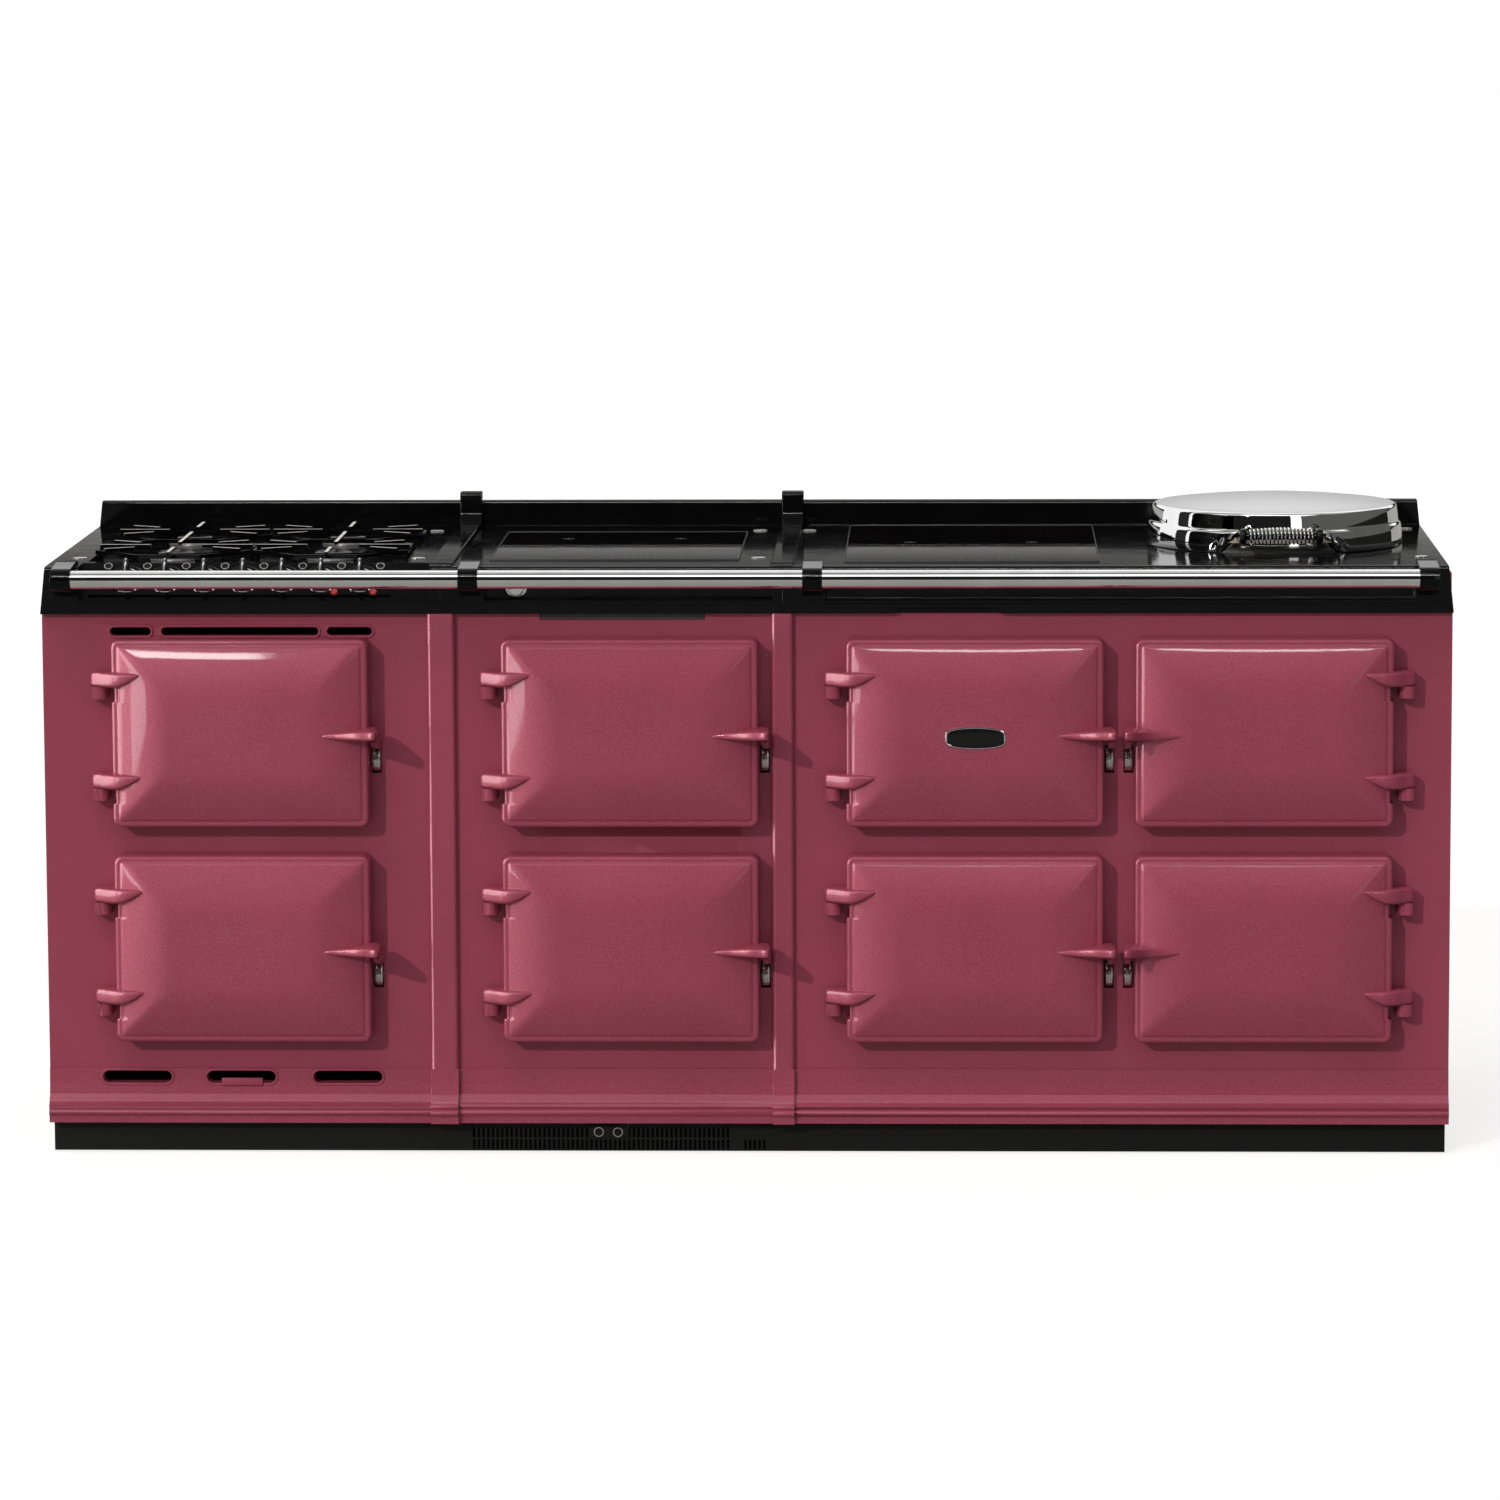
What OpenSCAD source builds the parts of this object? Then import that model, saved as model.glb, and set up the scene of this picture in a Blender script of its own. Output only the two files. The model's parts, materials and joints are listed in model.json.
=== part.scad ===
// Cast iron range cooker, 2.1 m wide: three sections side by side on one plinth.
// The left section has a gas hob, the middle one a ceramic hob, and the right one a
// ceramic hob and a hotplate under a domed lid. Eight doors hang on lift-off hinges.
// X runs to the viewer's right, the front faces -Y, and Z is up from the floor.

/* [Body] */
// Distance from the left section's doors to its sides
left_margin = 106; // [100:1:140]
// Distance from the middle section's left side to its doors
mid_margin_l = 90; // [86:1:120]
// Distance from those doors to the section's right side
mid_margin_r = 35; // [35:1:60]
// Distance from the right section's left side to its doors
right_margin_l = 94; // [88:1:120]
// Gap between the two columns of doors in the right section
right_between = 46; // [44:1:70]
// Distance from those doors to the right section's right side
right_margin_r = 87; // [84:1:120]
// Depth from the enamelled front to the back of the casing
body_d = 640; // [600:1:700]
// Height of the black plinth
plinth_h = 48; // [40:1:80]
// Height of the moulded skirt above the plinth
skirt_h = 80; // [70:1:110]
// Height of the enamelled front plates
plate_h = 680; // [670:1:740]
// Height of the black apron under the hob's edge
apron_h = 70; // [64:1:90]
// Thickness of the cast front plates
plate_t = 12; // [10:0.5:16]
// Thickness of the casing's sheet
sheet_t = 2.5; // [1.5:0.5:4]

/* [Hob] */
// Thickness of the cast hob plates
hob_t = 14; // [12:0.5:20]
// How far the hob's lip stands in front of the front plates
lip_out = 12; // [8:0.5:16]
// Radius of the lip's rounded edge
lip_r = 6; // [3:0.5:8]
// Height of the upstand at the back of the hob
upstand_h = 39; // [25:1:60]
// Thickness of the upstand
upstand_t = 22; // [16:1:28]
// Depth of the apron's recess behind the lip
recess_d = 26; // [18:1:30]
// How much narrower each side of the hob is at its top than at the apron's foot
hob_draft = 7; // [2:0.5:12]
// Width of the strips over the joints of the hob plates
strip_w = 34; // [26:1:44]
// Height of those strips above the hob
strip_h = 5; // [3:0.5:8]

/* [Doors] */
// Width of a door
door_w = 378; // [360:1:384]
// Height of a door
door_h = 278; // [260:1:284]
// Height of the lower doors above the front plates' foot
door_rise = 46; // [40:1:50]
// Gap between the lower and the upper doors
door_gap = 43; // [38:1:48]
// How far a door's rim stands in front of the front plate
door_rim = 42; // [36:1:48]
// How far the middle of a door stands in front of its rim
door_crown = 9; // [4:0.5:12]
// Gap between a closed door and the front plate
door_back = 3; // [2:0.5:5]
// Width of the door's seat around the oven's mouth
mouth_lap = 30; // [26:1:36]
// Clearance between the door's inner pan and the mouth
liner_clear = 8; // [7:0.5:12]
// Depth of the door's inner pan
liner_d = 30; // [22:1:34]

/* [Hinges and catches] */
// Distance of the hinge pin outside the door's edge
pin_out = 20; // [18:0.5:22]
// Distance of the hinge pin in front of the front plate
pin_front = 24; // [22:0.5:28]
// Radius of a hinge pin
pin_r = 5; // [4:0.5:6]
// Running clearance on the radius of each pin and shaft
run_clear = 0.08; // [0.02:0.01:0.1]
// Radius of the hinge barrels
barrel_r = 12.5; // [11:0.5:14]
// Height of a door's hinge arm
arm_h = 19; // [14:0.5:22]
// Height of a hinge lug on the front plate
lug_h = 18; // [14:0.5:22]
// Gap between a lug and the arm that turns on it
lug_gap = 0.3; // [0.2:0.05:0.6]
// Height of the lower hinge arm above the door's foot
hinge_low = 57; // [50:1:66]
// Height of the upper hinge arm above the door's foot
hinge_high = 208; // [200:1:220]
// Reach of the latch handle in front of the front plate
handle_reach = 112; // [100:1:125]
// Thickness of the handle's fin
fin_t = 13; // [10:0.5:15]
// Height of the fin above the door's foot
fin_z = 130; // [126:1:136]
// Radius of a catch roller
roller_r = 18.5; // [16:0.5:19]
// Width of a catch roller
roller_w = 12; // [10:0.5:14]
// Height of a roller's axle above the door's foot
roller_z = 96; // [92:1:98]
// Radius of a roller's axle
axle_r = 3; // [2.5:0.5:4]

/* [Ovens] */
// Depth of an oven
oven_d = 460; // [400:1:500]
// Thickness of the oven's wall
oven_t = 3; // [2:0.5:4]
// Depth of the control compartment behind the badge door
control_d = 130; // [100:1:200]
// Height of the shelf above the oven's floor
shelf_z = 95; // [70:1:130]
// Thickness of the heating plate under an oven
oven_element_t = 10; // [6:1:16]
// Bars across a shelf
shelf_bars = 11; // [7:1:14]

/* [Rail] */
// Radius of the hand rail
rail_r = 13.5; // [11:0.5:15]
// Distance of the rail's middle in front of the lip
rail_out = 60; // [50:1:66]
// Height of the rail's middle below the hob
rail_drop = 13; // [10:0.5:17]
// Distance of the rail's ends from the cooker's sides
rail_inset = 48; // [44:1:56]
// Width of a rail bracket
bracket_w = 29; // [22:1:34]
// Place of the middle brackets beyond each joint
bracket_x = 46; // [42:1:50]

/* [Gas hob] */
// Width of the burner well
well_w = 472; // [430:1:480]
// Depth of the burner well from front to back
well_l = 478; // [400:1:480]
// Place of the well from the section's left edge
well_x = 61; // [60:1:85]
// Place of the well behind the lip
well_y = 76; // [70:1:84]
// How deep the well is sunk
well_sink = 8; // [5:0.5:9]
// Height of the pan supports above the hob
support_h = 14; // [12:0.5:24]
// Width of a pan support's bars
bar_w = 5; // [4:0.5:8]
// Distance of the fingers' tips from a burner's middle
finger_in = 40; // [34:1:60]
// Radius of a burner's cap
burner_r = 28; // [22:1:36]

/* [Controls] */
// Spacing of the knobs
knob_pitch = 57.6; // [52:0.1:60]
// Place of the first knob from the cooker's left side
knob_x = 125; // [115:1:128]
// Radius of a knob's skirt
knob_r = 19; // [16:0.5:22]
// Height of a knob
knob_h = 31; // [24:0.5:34]
// Width of the sloping fascia
fascia_w = 447; // [440:1:456]
// Length of the fascia down its slope
fascia_l = 60; // [52:1:64]
// Thickness of the fascia
fascia_t = 3; // [2:0.5:4]
// Radius of a tap's spindle
spindle_r = 4; // [3:0.5:5]
// Radius of the pipes to the burners
pipe_r = 3.5; // [3:0.5:5]
// Radius of the chrome dial on the middle section
dial_r = 14; // [11:0.5:16]
// Place of the dial from the middle section's left edge
dial_x = 111; // [100:1:130]

/* [Ceramic hobs] */
// Width of the middle ceramic hob
glass_mid_w = 368; // [340:1:390]
// Depth of the middle ceramic hob
glass_mid_l = 415; // [380:1:440]
// Width of the right section's ceramic hob
glass_right_w = 375; // [340:1:390]
// Depth of the right section's ceramic hob
glass_right_l = 545; // [500:1:555]
// Place of the middle glass from its section's left side
glass_mid_x = 68; // [60:1:90]
// Place of the middle glass behind the lip
glass_mid_y = 90; // [70:1:100]
// Place of the right glass from its section's left side
glass_right_x = 91; // [80:1:100]
// Place of the right glass behind the lip
glass_right_y = 58; // [50:1:64]
// Thickness of the glass
glass_t = 6; // [4:0.5:8]
// How far the glass stands above the hob
glass_up = 2; // [1:0.5:3]
// Radius of the heating elements under the glass
element_r = 85; // [70:1:95]
// Height of those elements
element_h = 18; // [12:1:30]

/* [Lid] */
// Radius of the lid at its foot
lid_r = 193; // [185:1:200]
// Height of the lid's lower band
band_h = 33; // [26:1:38]
// Height of the lid up to the dome's edge
shoulder_h = 58; // [50:1:66]
// Height of the dome's top
dome_h = 72; // [68:1:84]
// Thickness of the lid's shell
lid_t = 3; // [2:0.5:4]
// Place of the lid's middle behind the hob's lip
lid_back = 350; // [335:1:360]
// Height of the lid's hinge pin above the hob
lid_pin_z = 25; // [22:1:30]
// Radius of the hotplate
hotplate_r = 180; // [160:1:182]
// Length of the coil on the lid's handle
coil_l = 100; // [80:1:110]
// Turns of the coil
coil_turns = 17; // [12:1:18]
// Radius of the coil's wire
wire_r = 1.4; // [1:0.1:1.6]
// Radius of the wire's path in the middle of the barrel-shaped coil
coil_mid_r = 12.2; // [11:0.1:13]
// Radius of the wire's path at the ends of the coil
coil_end_r = 8.6; // [8.2:0.1:9]

/* [Hidden] */
$fn = 48;

enamel = "#a3475b";
black = "#101012";
chrome = "#d4d4d6";
steel = "#a9abad";
iron = "#3a3a3c";

// Widths of the sections, and their edges from left to right
left_w = door_w + 2 * left_margin;
mid_w = mid_margin_l + door_w + mid_margin_r;
right_w = right_margin_l + 2 * door_w + right_between + right_margin_r;
x0 = -(left_w + mid_w + right_w) / 2;
x1 = x0 + left_w;
x2 = x1 + mid_w;
x3 = x2 + right_w;

// Depths: the front plates' face, the hob's lip, the back, and the back of the apron
y_face = (handle_reach - body_d) / 2;
y_lip = y_face - lip_out;
y_back = y_face + body_d;
y_recess = y_lip + recess_d;
y_apron = max(y_recess + 10, y_face + plate_t);
y_upstand = y_back - upstand_t;

// Heights
z_skirt = plinth_h;
z_plate = z_skirt + skirt_h;
z_apron = z_plate + plate_h;
z_hob = z_apron + apron_h;
z_casing = z_hob - hob_t;

// Plinth
plinth_gap = 2;
plinth_t = 3;
plinth_in = 8;
foot_r = 25;
foot_t = 8;
stud_r = 7;
stud_gap = 0.1;
foot_in = 60;
foot_side = 100;
foot_joint = 30;
foot_x = [x0 + foot_side, x1 + foot_joint, x2 + foot_joint, x3 - foot_side];
grille_x = x1 + 39;
grille_slots = 55;
grille_pitch = 7;
grille_slot = 4;
grille_z = [4, 22];
grille_h = 15;
side_slot_x = x2 - 60;
side_slots = 5;

// Skirt: its back lies behind the front plates, and its foot swells into two beads
skirt_back = 20;
panel_gap = 0.4;
skirt_top_out = 3;
pilaster_out = 9;
skirt_slot_l = 102;
skirt_slot_h = 18;
skirt_slot_top = 4;
skirt_slot_x = [80, 235, 394];

// Pilasters over the two joints
pilaster_w = [41, 32];
pilaster_x = [x1, x2];
pilaster_r = 6;

// Doors, column by column from the left, upper one first
door_cols = [x0 + left_w / 2, x1 + mid_margin_l + door_w / 2,
    x2 + right_margin_l + door_w / 2, x3 - right_margin_r - door_w / 2];
door_sides = [1, 1, 1, -1];
door_low = z_plate + door_rise;
door_high = door_low + door_h + door_gap;
doors = [0 : 7];
badge_door = 4;
hinge_z = [hinge_low, hinge_high];
door_corner = 12;
free_edge = pin_out + door_w;
pocket_lap = 22;
pocket_d = 20;
flange_t = 1.5;
liner_t = 2;
// Outlines in plan, as a place beside the door's edge and a height over its rim
arm_side = [[4, -4], [38, 2], [34, 7], [8, 10], [-4, 7]];
handle_side = [[-4, -6], [-66, 2], [-69, 8], [-40, 20], [-14, 40]];
handle_nose = [[4, 6], [10, 0]];
handle_out = 17;
nose_in = 2;
nose_back = [1, 5];
hook_t = 11;
hook_reach = [28, 58, 76];
hook_gap = 0.4;
hook_back = 3;
lug_floor = 4;
notch_r = pin_out + 4.4;
roller_in = 5;
roller_off = 3;
roller_side = 1.2;
mouth_w = door_w - 2 * mouth_lap;
mouth_h = door_h - 2 * mouth_lap;

// Vents of the left front plate above the doors: place from the section's edge, and length
vents = [[101, 60], [177, 232], [422, 66]];
vent_z = z_apron - 33;
vent_h = 12;
mid_slot_x = 146;
mid_slot_w = 243;
mid_slot_h = 10;

// Blocks of the apron that reach the lip, where the rail's brackets stand
end_block = 56;
joint_block = 14;
bracket_block = bracket_x + bracket_w / 2 + 4;
recess_top = 14;
recess_foot = 20;
foot_chamfer = 4;
notch_x = 166;
notch_w = 156;
notch_h = 8;

// The sloping fascia of the left section: it runs from its foot up to the hob
slope_foot = [y_lip + 6, z_apron + 22];
slope_head = [y_lip + 58, z_hob];
slope_run = slope_head - slope_foot;
slope_a = atan2(slope_run[1], slope_run[0]);
slope_mid = (slope_foot + slope_head) / 2;
slope_wall = 8;
slope_out = [0, -sin(slope_a), cos(slope_a)];
fascia_x = x0 + end_block + 13;
knobs = 7;
tap_r = 10;
tap_l = 22;
tap_hole = 0.6;
knob_gap = 0.3;
spindle_l = 16;
gas_taps = 4;
pipe_drop = 12;
supply_r = 6;
supply_gap = 0.2;
supply_end = 30;
elbow_t = 1.5;
lamp_x = [433, 491];
lamp_r = 4;
dial_l = 18;
dial_shaft_r = 4;
dial_shaft_l = 9;
dial_z = (z_hob - recess_top + z_apron + recess_foot) / 2;
touch_t = 8;
touch_in = 12;

// Rail
rail_y = y_lip - rail_out;
rail_z = z_hob - rail_drop;
rail_fit = 0.1;
collar_t = 3.5;
rail_seat = 6;
bracket_xs = [x0 + rail_inset - bracket_w / 2 + rail_seat, x1 + bracket_x,
    x2 + bracket_x, x3 - rail_inset + bracket_w / 2 - rail_seat];
bracket_lap = 22;
bracket_top = 8;
bracket_foot = 28;
bracket_neck = 8;
bracket_bevel = [4, 3];
bracket_arm = 12;

// Gas hob
well = [x0 + well_x, y_lip + well_y, z_hob - well_sink];
support_gap = 3;
support_clear = 2;
support_w = (well_w - support_gap) / 2 - support_clear;
support_l = well_l - 2 * support_clear;
bar_h = 5;
ring_h = 6;
ring_lap = 1;
ring_flat = 46;
ring_cut = 68;
diagonal = [0.6, 0.8];
burner_y = [support_l / 4, 3 * support_l / 4];
burner_base_r = burner_r + 12;
burner_base_h = 4;
burner_cap_z = 8;
burner_cap_h = 4;

// Which burner each gas tap feeds: left or right, front or back
tap_burner = [[0, 1], [0, 0], [1, 1], [1, 0]];

// Ceramic hobs
glass_mid_at = [x1 + glass_mid_x, y_lip + glass_mid_y];
glass_right_at = [x2 + glass_right_x, y_lip + glass_right_y];
glass_fit = 0.2;
oven_element_in = 30;

// Lid and hotplate
lid_x = x3 - right_w / 4;
lid_y = y_lip + lid_back;
lid_gap = 1;
hotplate_sink = 6;
hotplate_up = 7;
liner_z = 16;
lid_top_r = lid_r - 21;
lid_pin_y = lid_r + 20;
lid_pin_r = 5;
lid_arm_x = [-34, 22];
lid_arm_w = 12;
lid_arm_in = 34;
lid_arm_z = [10, 44];
lid_barrel_r = 9;
ear_x = [-47, 35];
ear_w = 12;
ear_r = 10;
bracket_base = [116, 38, 5];
rod_r = 5.5;
rod_y = -(lid_r + 32);
rod_z = 31;
lug_x = coil_l / 2 + 1;
handle_lug_w = 11;
handle_lug_h = 24;
coil_sides = 6;
coil_rings = 8;

// A flat outline in (y, z) drawn out along X, and one in (x, z) drawn out along Y
module along_x(xa, xb) {
    translate([xa, 0, 0]) rotate([90, 0, 90]) linear_extrude(xb - xa) children();
}
module along_y(ya, yb) {
    translate([0, yb, 0]) rotate([90, 0, 0]) linear_extrude(yb - ya) children();
}
module block(a, b) {
    translate(a) cube(b - a);
}
module x_cylinder(x, y, z, r, l) {
    translate([x, y, z]) rotate([0, 90, 0]) cylinder(r = r, h = l);
}

// A slot with round ends: a stadium in the (x, z) plane
module slot_outline(x, z, l, h) {
    translate([x + h / 2, z]) square([l - h, h]);
    for (c = [x + h / 2, x + l - h / 2]) translate([c, z + h / 2]) circle(d = h);
}

// Round corners of a rectangle in (x, z), as points
function round_rect(x, z, w, h, r, n = 4) = [
    for (c = [0 : 3], k = [0 : n - 1])
        let (
            a = 90 * c + 90 * k / (n - 1),
            cx = (c == 0 || c == 3) ? x + w - r : x + r,
            cz = c < 2 ? z + h - r : z + r
        ) [cx + r * cos(a), cz + r * sin(a)]
];

// A solid through rings of points, from the back ring to the front one
module loft(rings) {
    n = len(rings[0]);
    last = len(rings) - 1;
    points = [for (ring = rings, p = ring) p];
    sides = [
        for (k = [0 : last - 1], j = [0 : n - 1])
            let (b = k * n, f = b + n, m = (j + 1) % n)
                each [[f + j, f + m, b + m], [f + j, b + m, b + j]]
    ];
    front = [for (j = [n - 1 : -1 : 0]) last * n + j];
    back = [for (j = [0 : n - 1]) j];
    polyhedron(points = points, faces = concat(sides, [front], [back]), convexity = 4);
}

// ---- Plinth, skirts and casing ----

module plinth() {
    ya = y_face + plinth_in;
    yb = y_back - plinth_in;
    xa = x0 + plinth_in / 2;
    xb = x3 - plinth_in / 2;
    color(black) difference() {
        block([xa, ya, plinth_gap], [xb, yb, z_skirt]);
        block([xa + plinth_t, ya + plinth_t, plinth_gap - 1],
            [xb - plinth_t, yb - plinth_t, z_skirt - plinth_t]);
        for (x = foot_x, y = [ya + foot_in, yb - foot_in])
            translate([x, y, z_skirt - plinth_t - 1]) cylinder(r = stud_r + stud_gap, h = plinth_t + 2);
        for (k = [0 : grille_slots - 1], z = grille_z)
            translate([grille_x + k * grille_pitch, ya - 1, z])
                cube([grille_slot, plinth_t + 2, grille_h]);
        for (k = [0 : side_slots - 1])
            translate([side_slot_x + k * grille_pitch, ya - 1, grille_z[0]])
                cube([grille_slot, plinth_t + 2, grille_h]);
    }
    for (x = foot_x, y = [ya + foot_in, yb - foot_in]) color(iron) translate([x, y, 0]) {
        cylinder(r = foot_r, h = foot_t);
        cylinder(r = stud_r, h = z_skirt - stud_gap);
    }
}

// The skirt's outline in (y, z), pushed out by e
function skirt_outline(e) = [
    [y_face + skirt_back, z_skirt],
    [y_face + skirt_back, z_plate],
    [y_face - skirt_top_out - e, z_plate],
    [y_face - skirt_top_out - 1 - e, z_plate - 22],
    [y_face - skirt_top_out - 4 - e, z_skirt + 42],
    [y_face - skirt_top_out - 9 - e, z_skirt + 33],
    for (a = [60 : -30 : -60])
        [y_face - skirt_top_out - 11 - e - 4 * cos(a), z_skirt + 25 + 4 * sin(a)],
    for (a = [60 : -30 : -60])
        [y_face - skirt_top_out - 13 - e - 4 * cos(a), z_skirt + 16 + 4 * sin(a)],
    [y_face - skirt_top_out - 13 - e, z_skirt + 10],
    [y_face - skirt_top_out - 13 - e, z_skirt],
];

module base_skirts() {
    color(enamel) {
        difference() {
            along_x(x0, x1) polygon(skirt_outline(0));
            along_y(y_face - 40, y_face + skirt_back + 1)
                for (x = skirt_slot_x)
                    slot_outline(x0 + x, z_plate - skirt_slot_top - skirt_slot_h,
                        skirt_slot_l, skirt_slot_h);
        }
        along_x(x1 + panel_gap, x2 - panel_gap) polygon(skirt_outline(0));
        along_x(x2, x3) polygon(skirt_outline(0));
    }
}

module pilasters() {
    out = skirt_top_out + pilaster_out;
    for (k = [0, 1]) {
        xa = pilaster_x[k] - pilaster_w[k] / 2;
        xb = xa + pilaster_w[k];
        color(enamel) {
            translate([0, 0, z_plate]) linear_extrude(plate_h) polygon([
                [xa, y_face],
                for (a = [180 : 30 : 270])
                    [xa + pilaster_r + pilaster_r * cos(a), y_face - out + pilaster_r + pilaster_r * sin(a)],
                for (a = [270 : 30 : 360])
                    [xb - pilaster_r + pilaster_r * cos(a), y_face - out + pilaster_r + pilaster_r * sin(a)],
                [xb, y_face],
            ]);
            along_x(xa, xb) difference() {
                polygon(skirt_outline(pilaster_out));
                polygon(skirt_outline(0));
                translate([y_face, z_skirt - 1]) square([skirt_back + 1, skirt_h + 2]);
            }
        }
    }
}

// Outline in (y, z) of the sheets that stand between front and back
function casing_outline(yb) = [
    [y_face + skirt_back, z_skirt],
    [yb, z_skirt],
    [yb, z_casing],
    [y_apron, z_casing],
    [y_apron, z_apron],
    [y_face + plate_t, z_apron],
    [y_face + plate_t, z_plate],
    [y_face + skirt_back, z_plate],
];

module casing_panels() {
    color(enamel) {
        along_x(x0, x0 + sheet_t) polygon(casing_outline(y_back));
        along_x(x3 - sheet_t, x3) polygon(casing_outline(y_back));
    }
    color(steel) {
        for (x = [x1, x2])
            along_x(x - sheet_t / 2, x + sheet_t / 2)
                polygon(casing_outline(y_back - sheet_t - panel_gap));
        block([x0 + sheet_t + panel_gap, y_back - sheet_t, z_skirt],
            [x3 - sheet_t - panel_gap, y_back, z_casing]);
    }
}

// ---- Front plates ----

function door_side(i) = door_sides[floor(i / 2)];
function door_foot(i) = i % 2 == 0 ? door_high : door_low;

// Puts its children at door i: the hinge pin at x = 0, the front plate's face at y = 0
module at_door(i) {
    side = door_side(i);
    translate([door_cols[floor(i / 2)] - side * (door_w / 2 + pin_out), y_face, door_foot(i)])
        mirror([side < 0 ? 1 : 0, 0, 0]) children();
}

module hinge_lugs() {
    for (z = hinge_z) translate([0, 0, z - lug_gap - lug_h]) difference() {
        linear_extrude(lug_h) {
            translate([0, -pin_front]) circle(barrel_r);
            translate([-barrel_r, -pin_front]) square([2 * barrel_r, pin_front + 1]);
        }
        translate([0, -pin_front, lug_floor]) cylinder(r = pin_r, h = lug_h);
    }
}

module roller_slot() {
    x = free_edge + roller_off - roller_side;
    w = roller_w + 2 * roller_side;
    half = roller_r + 2;
    translate([x, -1, roller_z - half]) cube([w, plate_t + 2, 2 * half]);
}

module roller_axle() {
    x_cylinder(free_edge + roller_off - roller_side - 2, roller_in, roller_z, axle_r,
        roller_w + 2 * roller_side + 4);
}

// A front plate from xa to xb that holds the listed doors
module front_plate(xa, xb, held) {
    difference() {
        block([xa, y_face, z_plate], [xb, y_face + plate_t, z_apron]);
        for (i = held) at_door(i) {
            translate([pin_out + mouth_lap, -1, mouth_lap]) cube([mouth_w, plate_t + 2, mouth_h]);
            roller_slot();
        }
    }
    for (i = held) at_door(i) {
        hinge_lugs();
        roller_axle();
    }
}

module front_plates() {
    color(enamel) {
        difference() {
            front_plate(x0, x1, [0, 1]);
            along_y(y_face - 1, y_face + plate_t + 1)
                for (v = vents) slot_outline(x0 + v[0], vent_z, v[1], vent_h);
        }
        difference() {
            front_plate(x1 + panel_gap, x2 - panel_gap, [2, 3]);
            block([x1 + mid_slot_x, y_face - 1, z_apron - mid_slot_h],
                [x1 + mid_slot_x + mid_slot_w, y_face + plate_t + 1, z_apron + 1]);
        }
        front_plate(x2, x3, [4, 5, 6, 7]);
    }
}

// ---- Hob plates ----

// Points round the lip, from the hob's surface down to its front
function lip_points() = [
    for (a = [90 : 30 : 180]) [y_lip + lip_r + lip_r * cos(a), z_hob - lip_r + lip_r * sin(a)]
];

// From the apron's foot round the back of the plate to the upstand and the hob's surface
function plate_back() = [
    [y_apron, z_apron],
    [y_apron, z_casing],
    [y_back, z_casing],
    [y_back, z_hob + upstand_h - 2],
    [y_back - 2, z_hob + upstand_h],
    [y_upstand + 4, z_hob + upstand_h],
    [y_upstand + 1, z_hob + upstand_h - 2],
    [y_upstand, z_hob + upstand_h - 5],
    [y_upstand, z_hob],
];

// A full block, a recessed stretch, and the stretch with the sloping fascia
function block_outline() = concat(plate_back(), lip_points(), [[y_lip, z_apron]]);
function recess_outline() = concat(plate_back(), lip_points(), [
    [y_lip, z_hob - recess_top],
    [y_recess, z_hob - recess_top],
    [y_recess, z_apron + recess_foot],
    [y_lip + foot_chamfer, z_apron + recess_foot],
    [y_lip, z_apron + recess_foot - foot_chamfer],
    [y_lip, z_apron],
]);
function fascia_outline() =
    let (
        away = slope_wall / sin(slope_a),
        inner_y = slope_head[0] + away - (z_hob - z_casing) / tan(slope_a),
        inner_z = z_casing - (inner_y - y_apron) * tan(slope_a)
    ) concat(
        [[y_apron, z_apron], [y_apron, max(z_apron + 1, inner_z)], [inner_y, z_casing]],
        [for (k = [2 : 8]) plate_back()[k]],
        [slope_head, slope_foot, [y_lip, z_apron + 17], [y_lip, z_apron]]
    );

// Keeps a hob plate between its sides, which lean in towards the top
module plate_sides(xa, xb, left_lean, right_lean) {
    rise = (upstand_h + apron_h) / apron_h;
    intersection() {
        children();
        along_y(y_lip - 1, y_back + 1) polygon([
            [xa - (left_lean > 0 ? 1 : 0), z_apron],
            [xb + (right_lean > 0 ? 1 : 0), z_apron],
            [xb - right_lean * rise, z_hob + upstand_h + 1],
            [xa + left_lean * rise, z_hob + upstand_h + 1],
        ]);
    }
}

// A knob's axis: its foot on the sloping fascia, and the direction out of the slope
function knob_at(k) = [x0 + knob_x + k * knob_pitch, slope_mid[0], slope_mid[1]];
module on_slope(x) {
    translate([x, slope_mid[0], slope_mid[1]]) rotate([slope_a, 0, 0]) children();
}

module top_plate_left() {
    color(black) difference() {
        plate_sides(x0, x1, hob_draft, 0) {
            along_x(x0 - 1, x0 + end_block) polygon(block_outline());
            along_x(x0 + end_block, x1 - joint_block) polygon(fascia_outline());
            along_x(x1 - joint_block, x1) polygon(block_outline());
        }
        block(well, [well[0] + well_w, well[1] + well_l, z_hob + 1]);
        for (k = [0 : knobs - 1])
            on_slope(knob_at(k)[0]) translate([0, 0, -50]) cylinder(r = tap_r + tap_hole, h = 51);
    }
}

module top_plate_middle() {
    color(black) difference() {
        plate_sides(x1, x2, 0, 0) {
            along_x(x1, x1 + bracket_block) polygon(block_outline());
            along_x(x1 + bracket_block, x2 - joint_block) polygon(recess_outline());
            along_x(x2 - joint_block, x2) polygon(block_outline());
        }
        translate([glass_mid_at[0] - glass_fit, glass_mid_at[1] - glass_fit, z_hob - glass_t + glass_up])
            cube([glass_mid_w + 2 * glass_fit, glass_mid_l + 2 * glass_fit, glass_t]);
        translate([x1 + dial_x, y_recess - 1, dial_z]) rotate([-90, 0, 0])
            cylinder(r = dial_shaft_r + run_clear, h = y_apron - y_recess + 2);
    }
}

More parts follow.
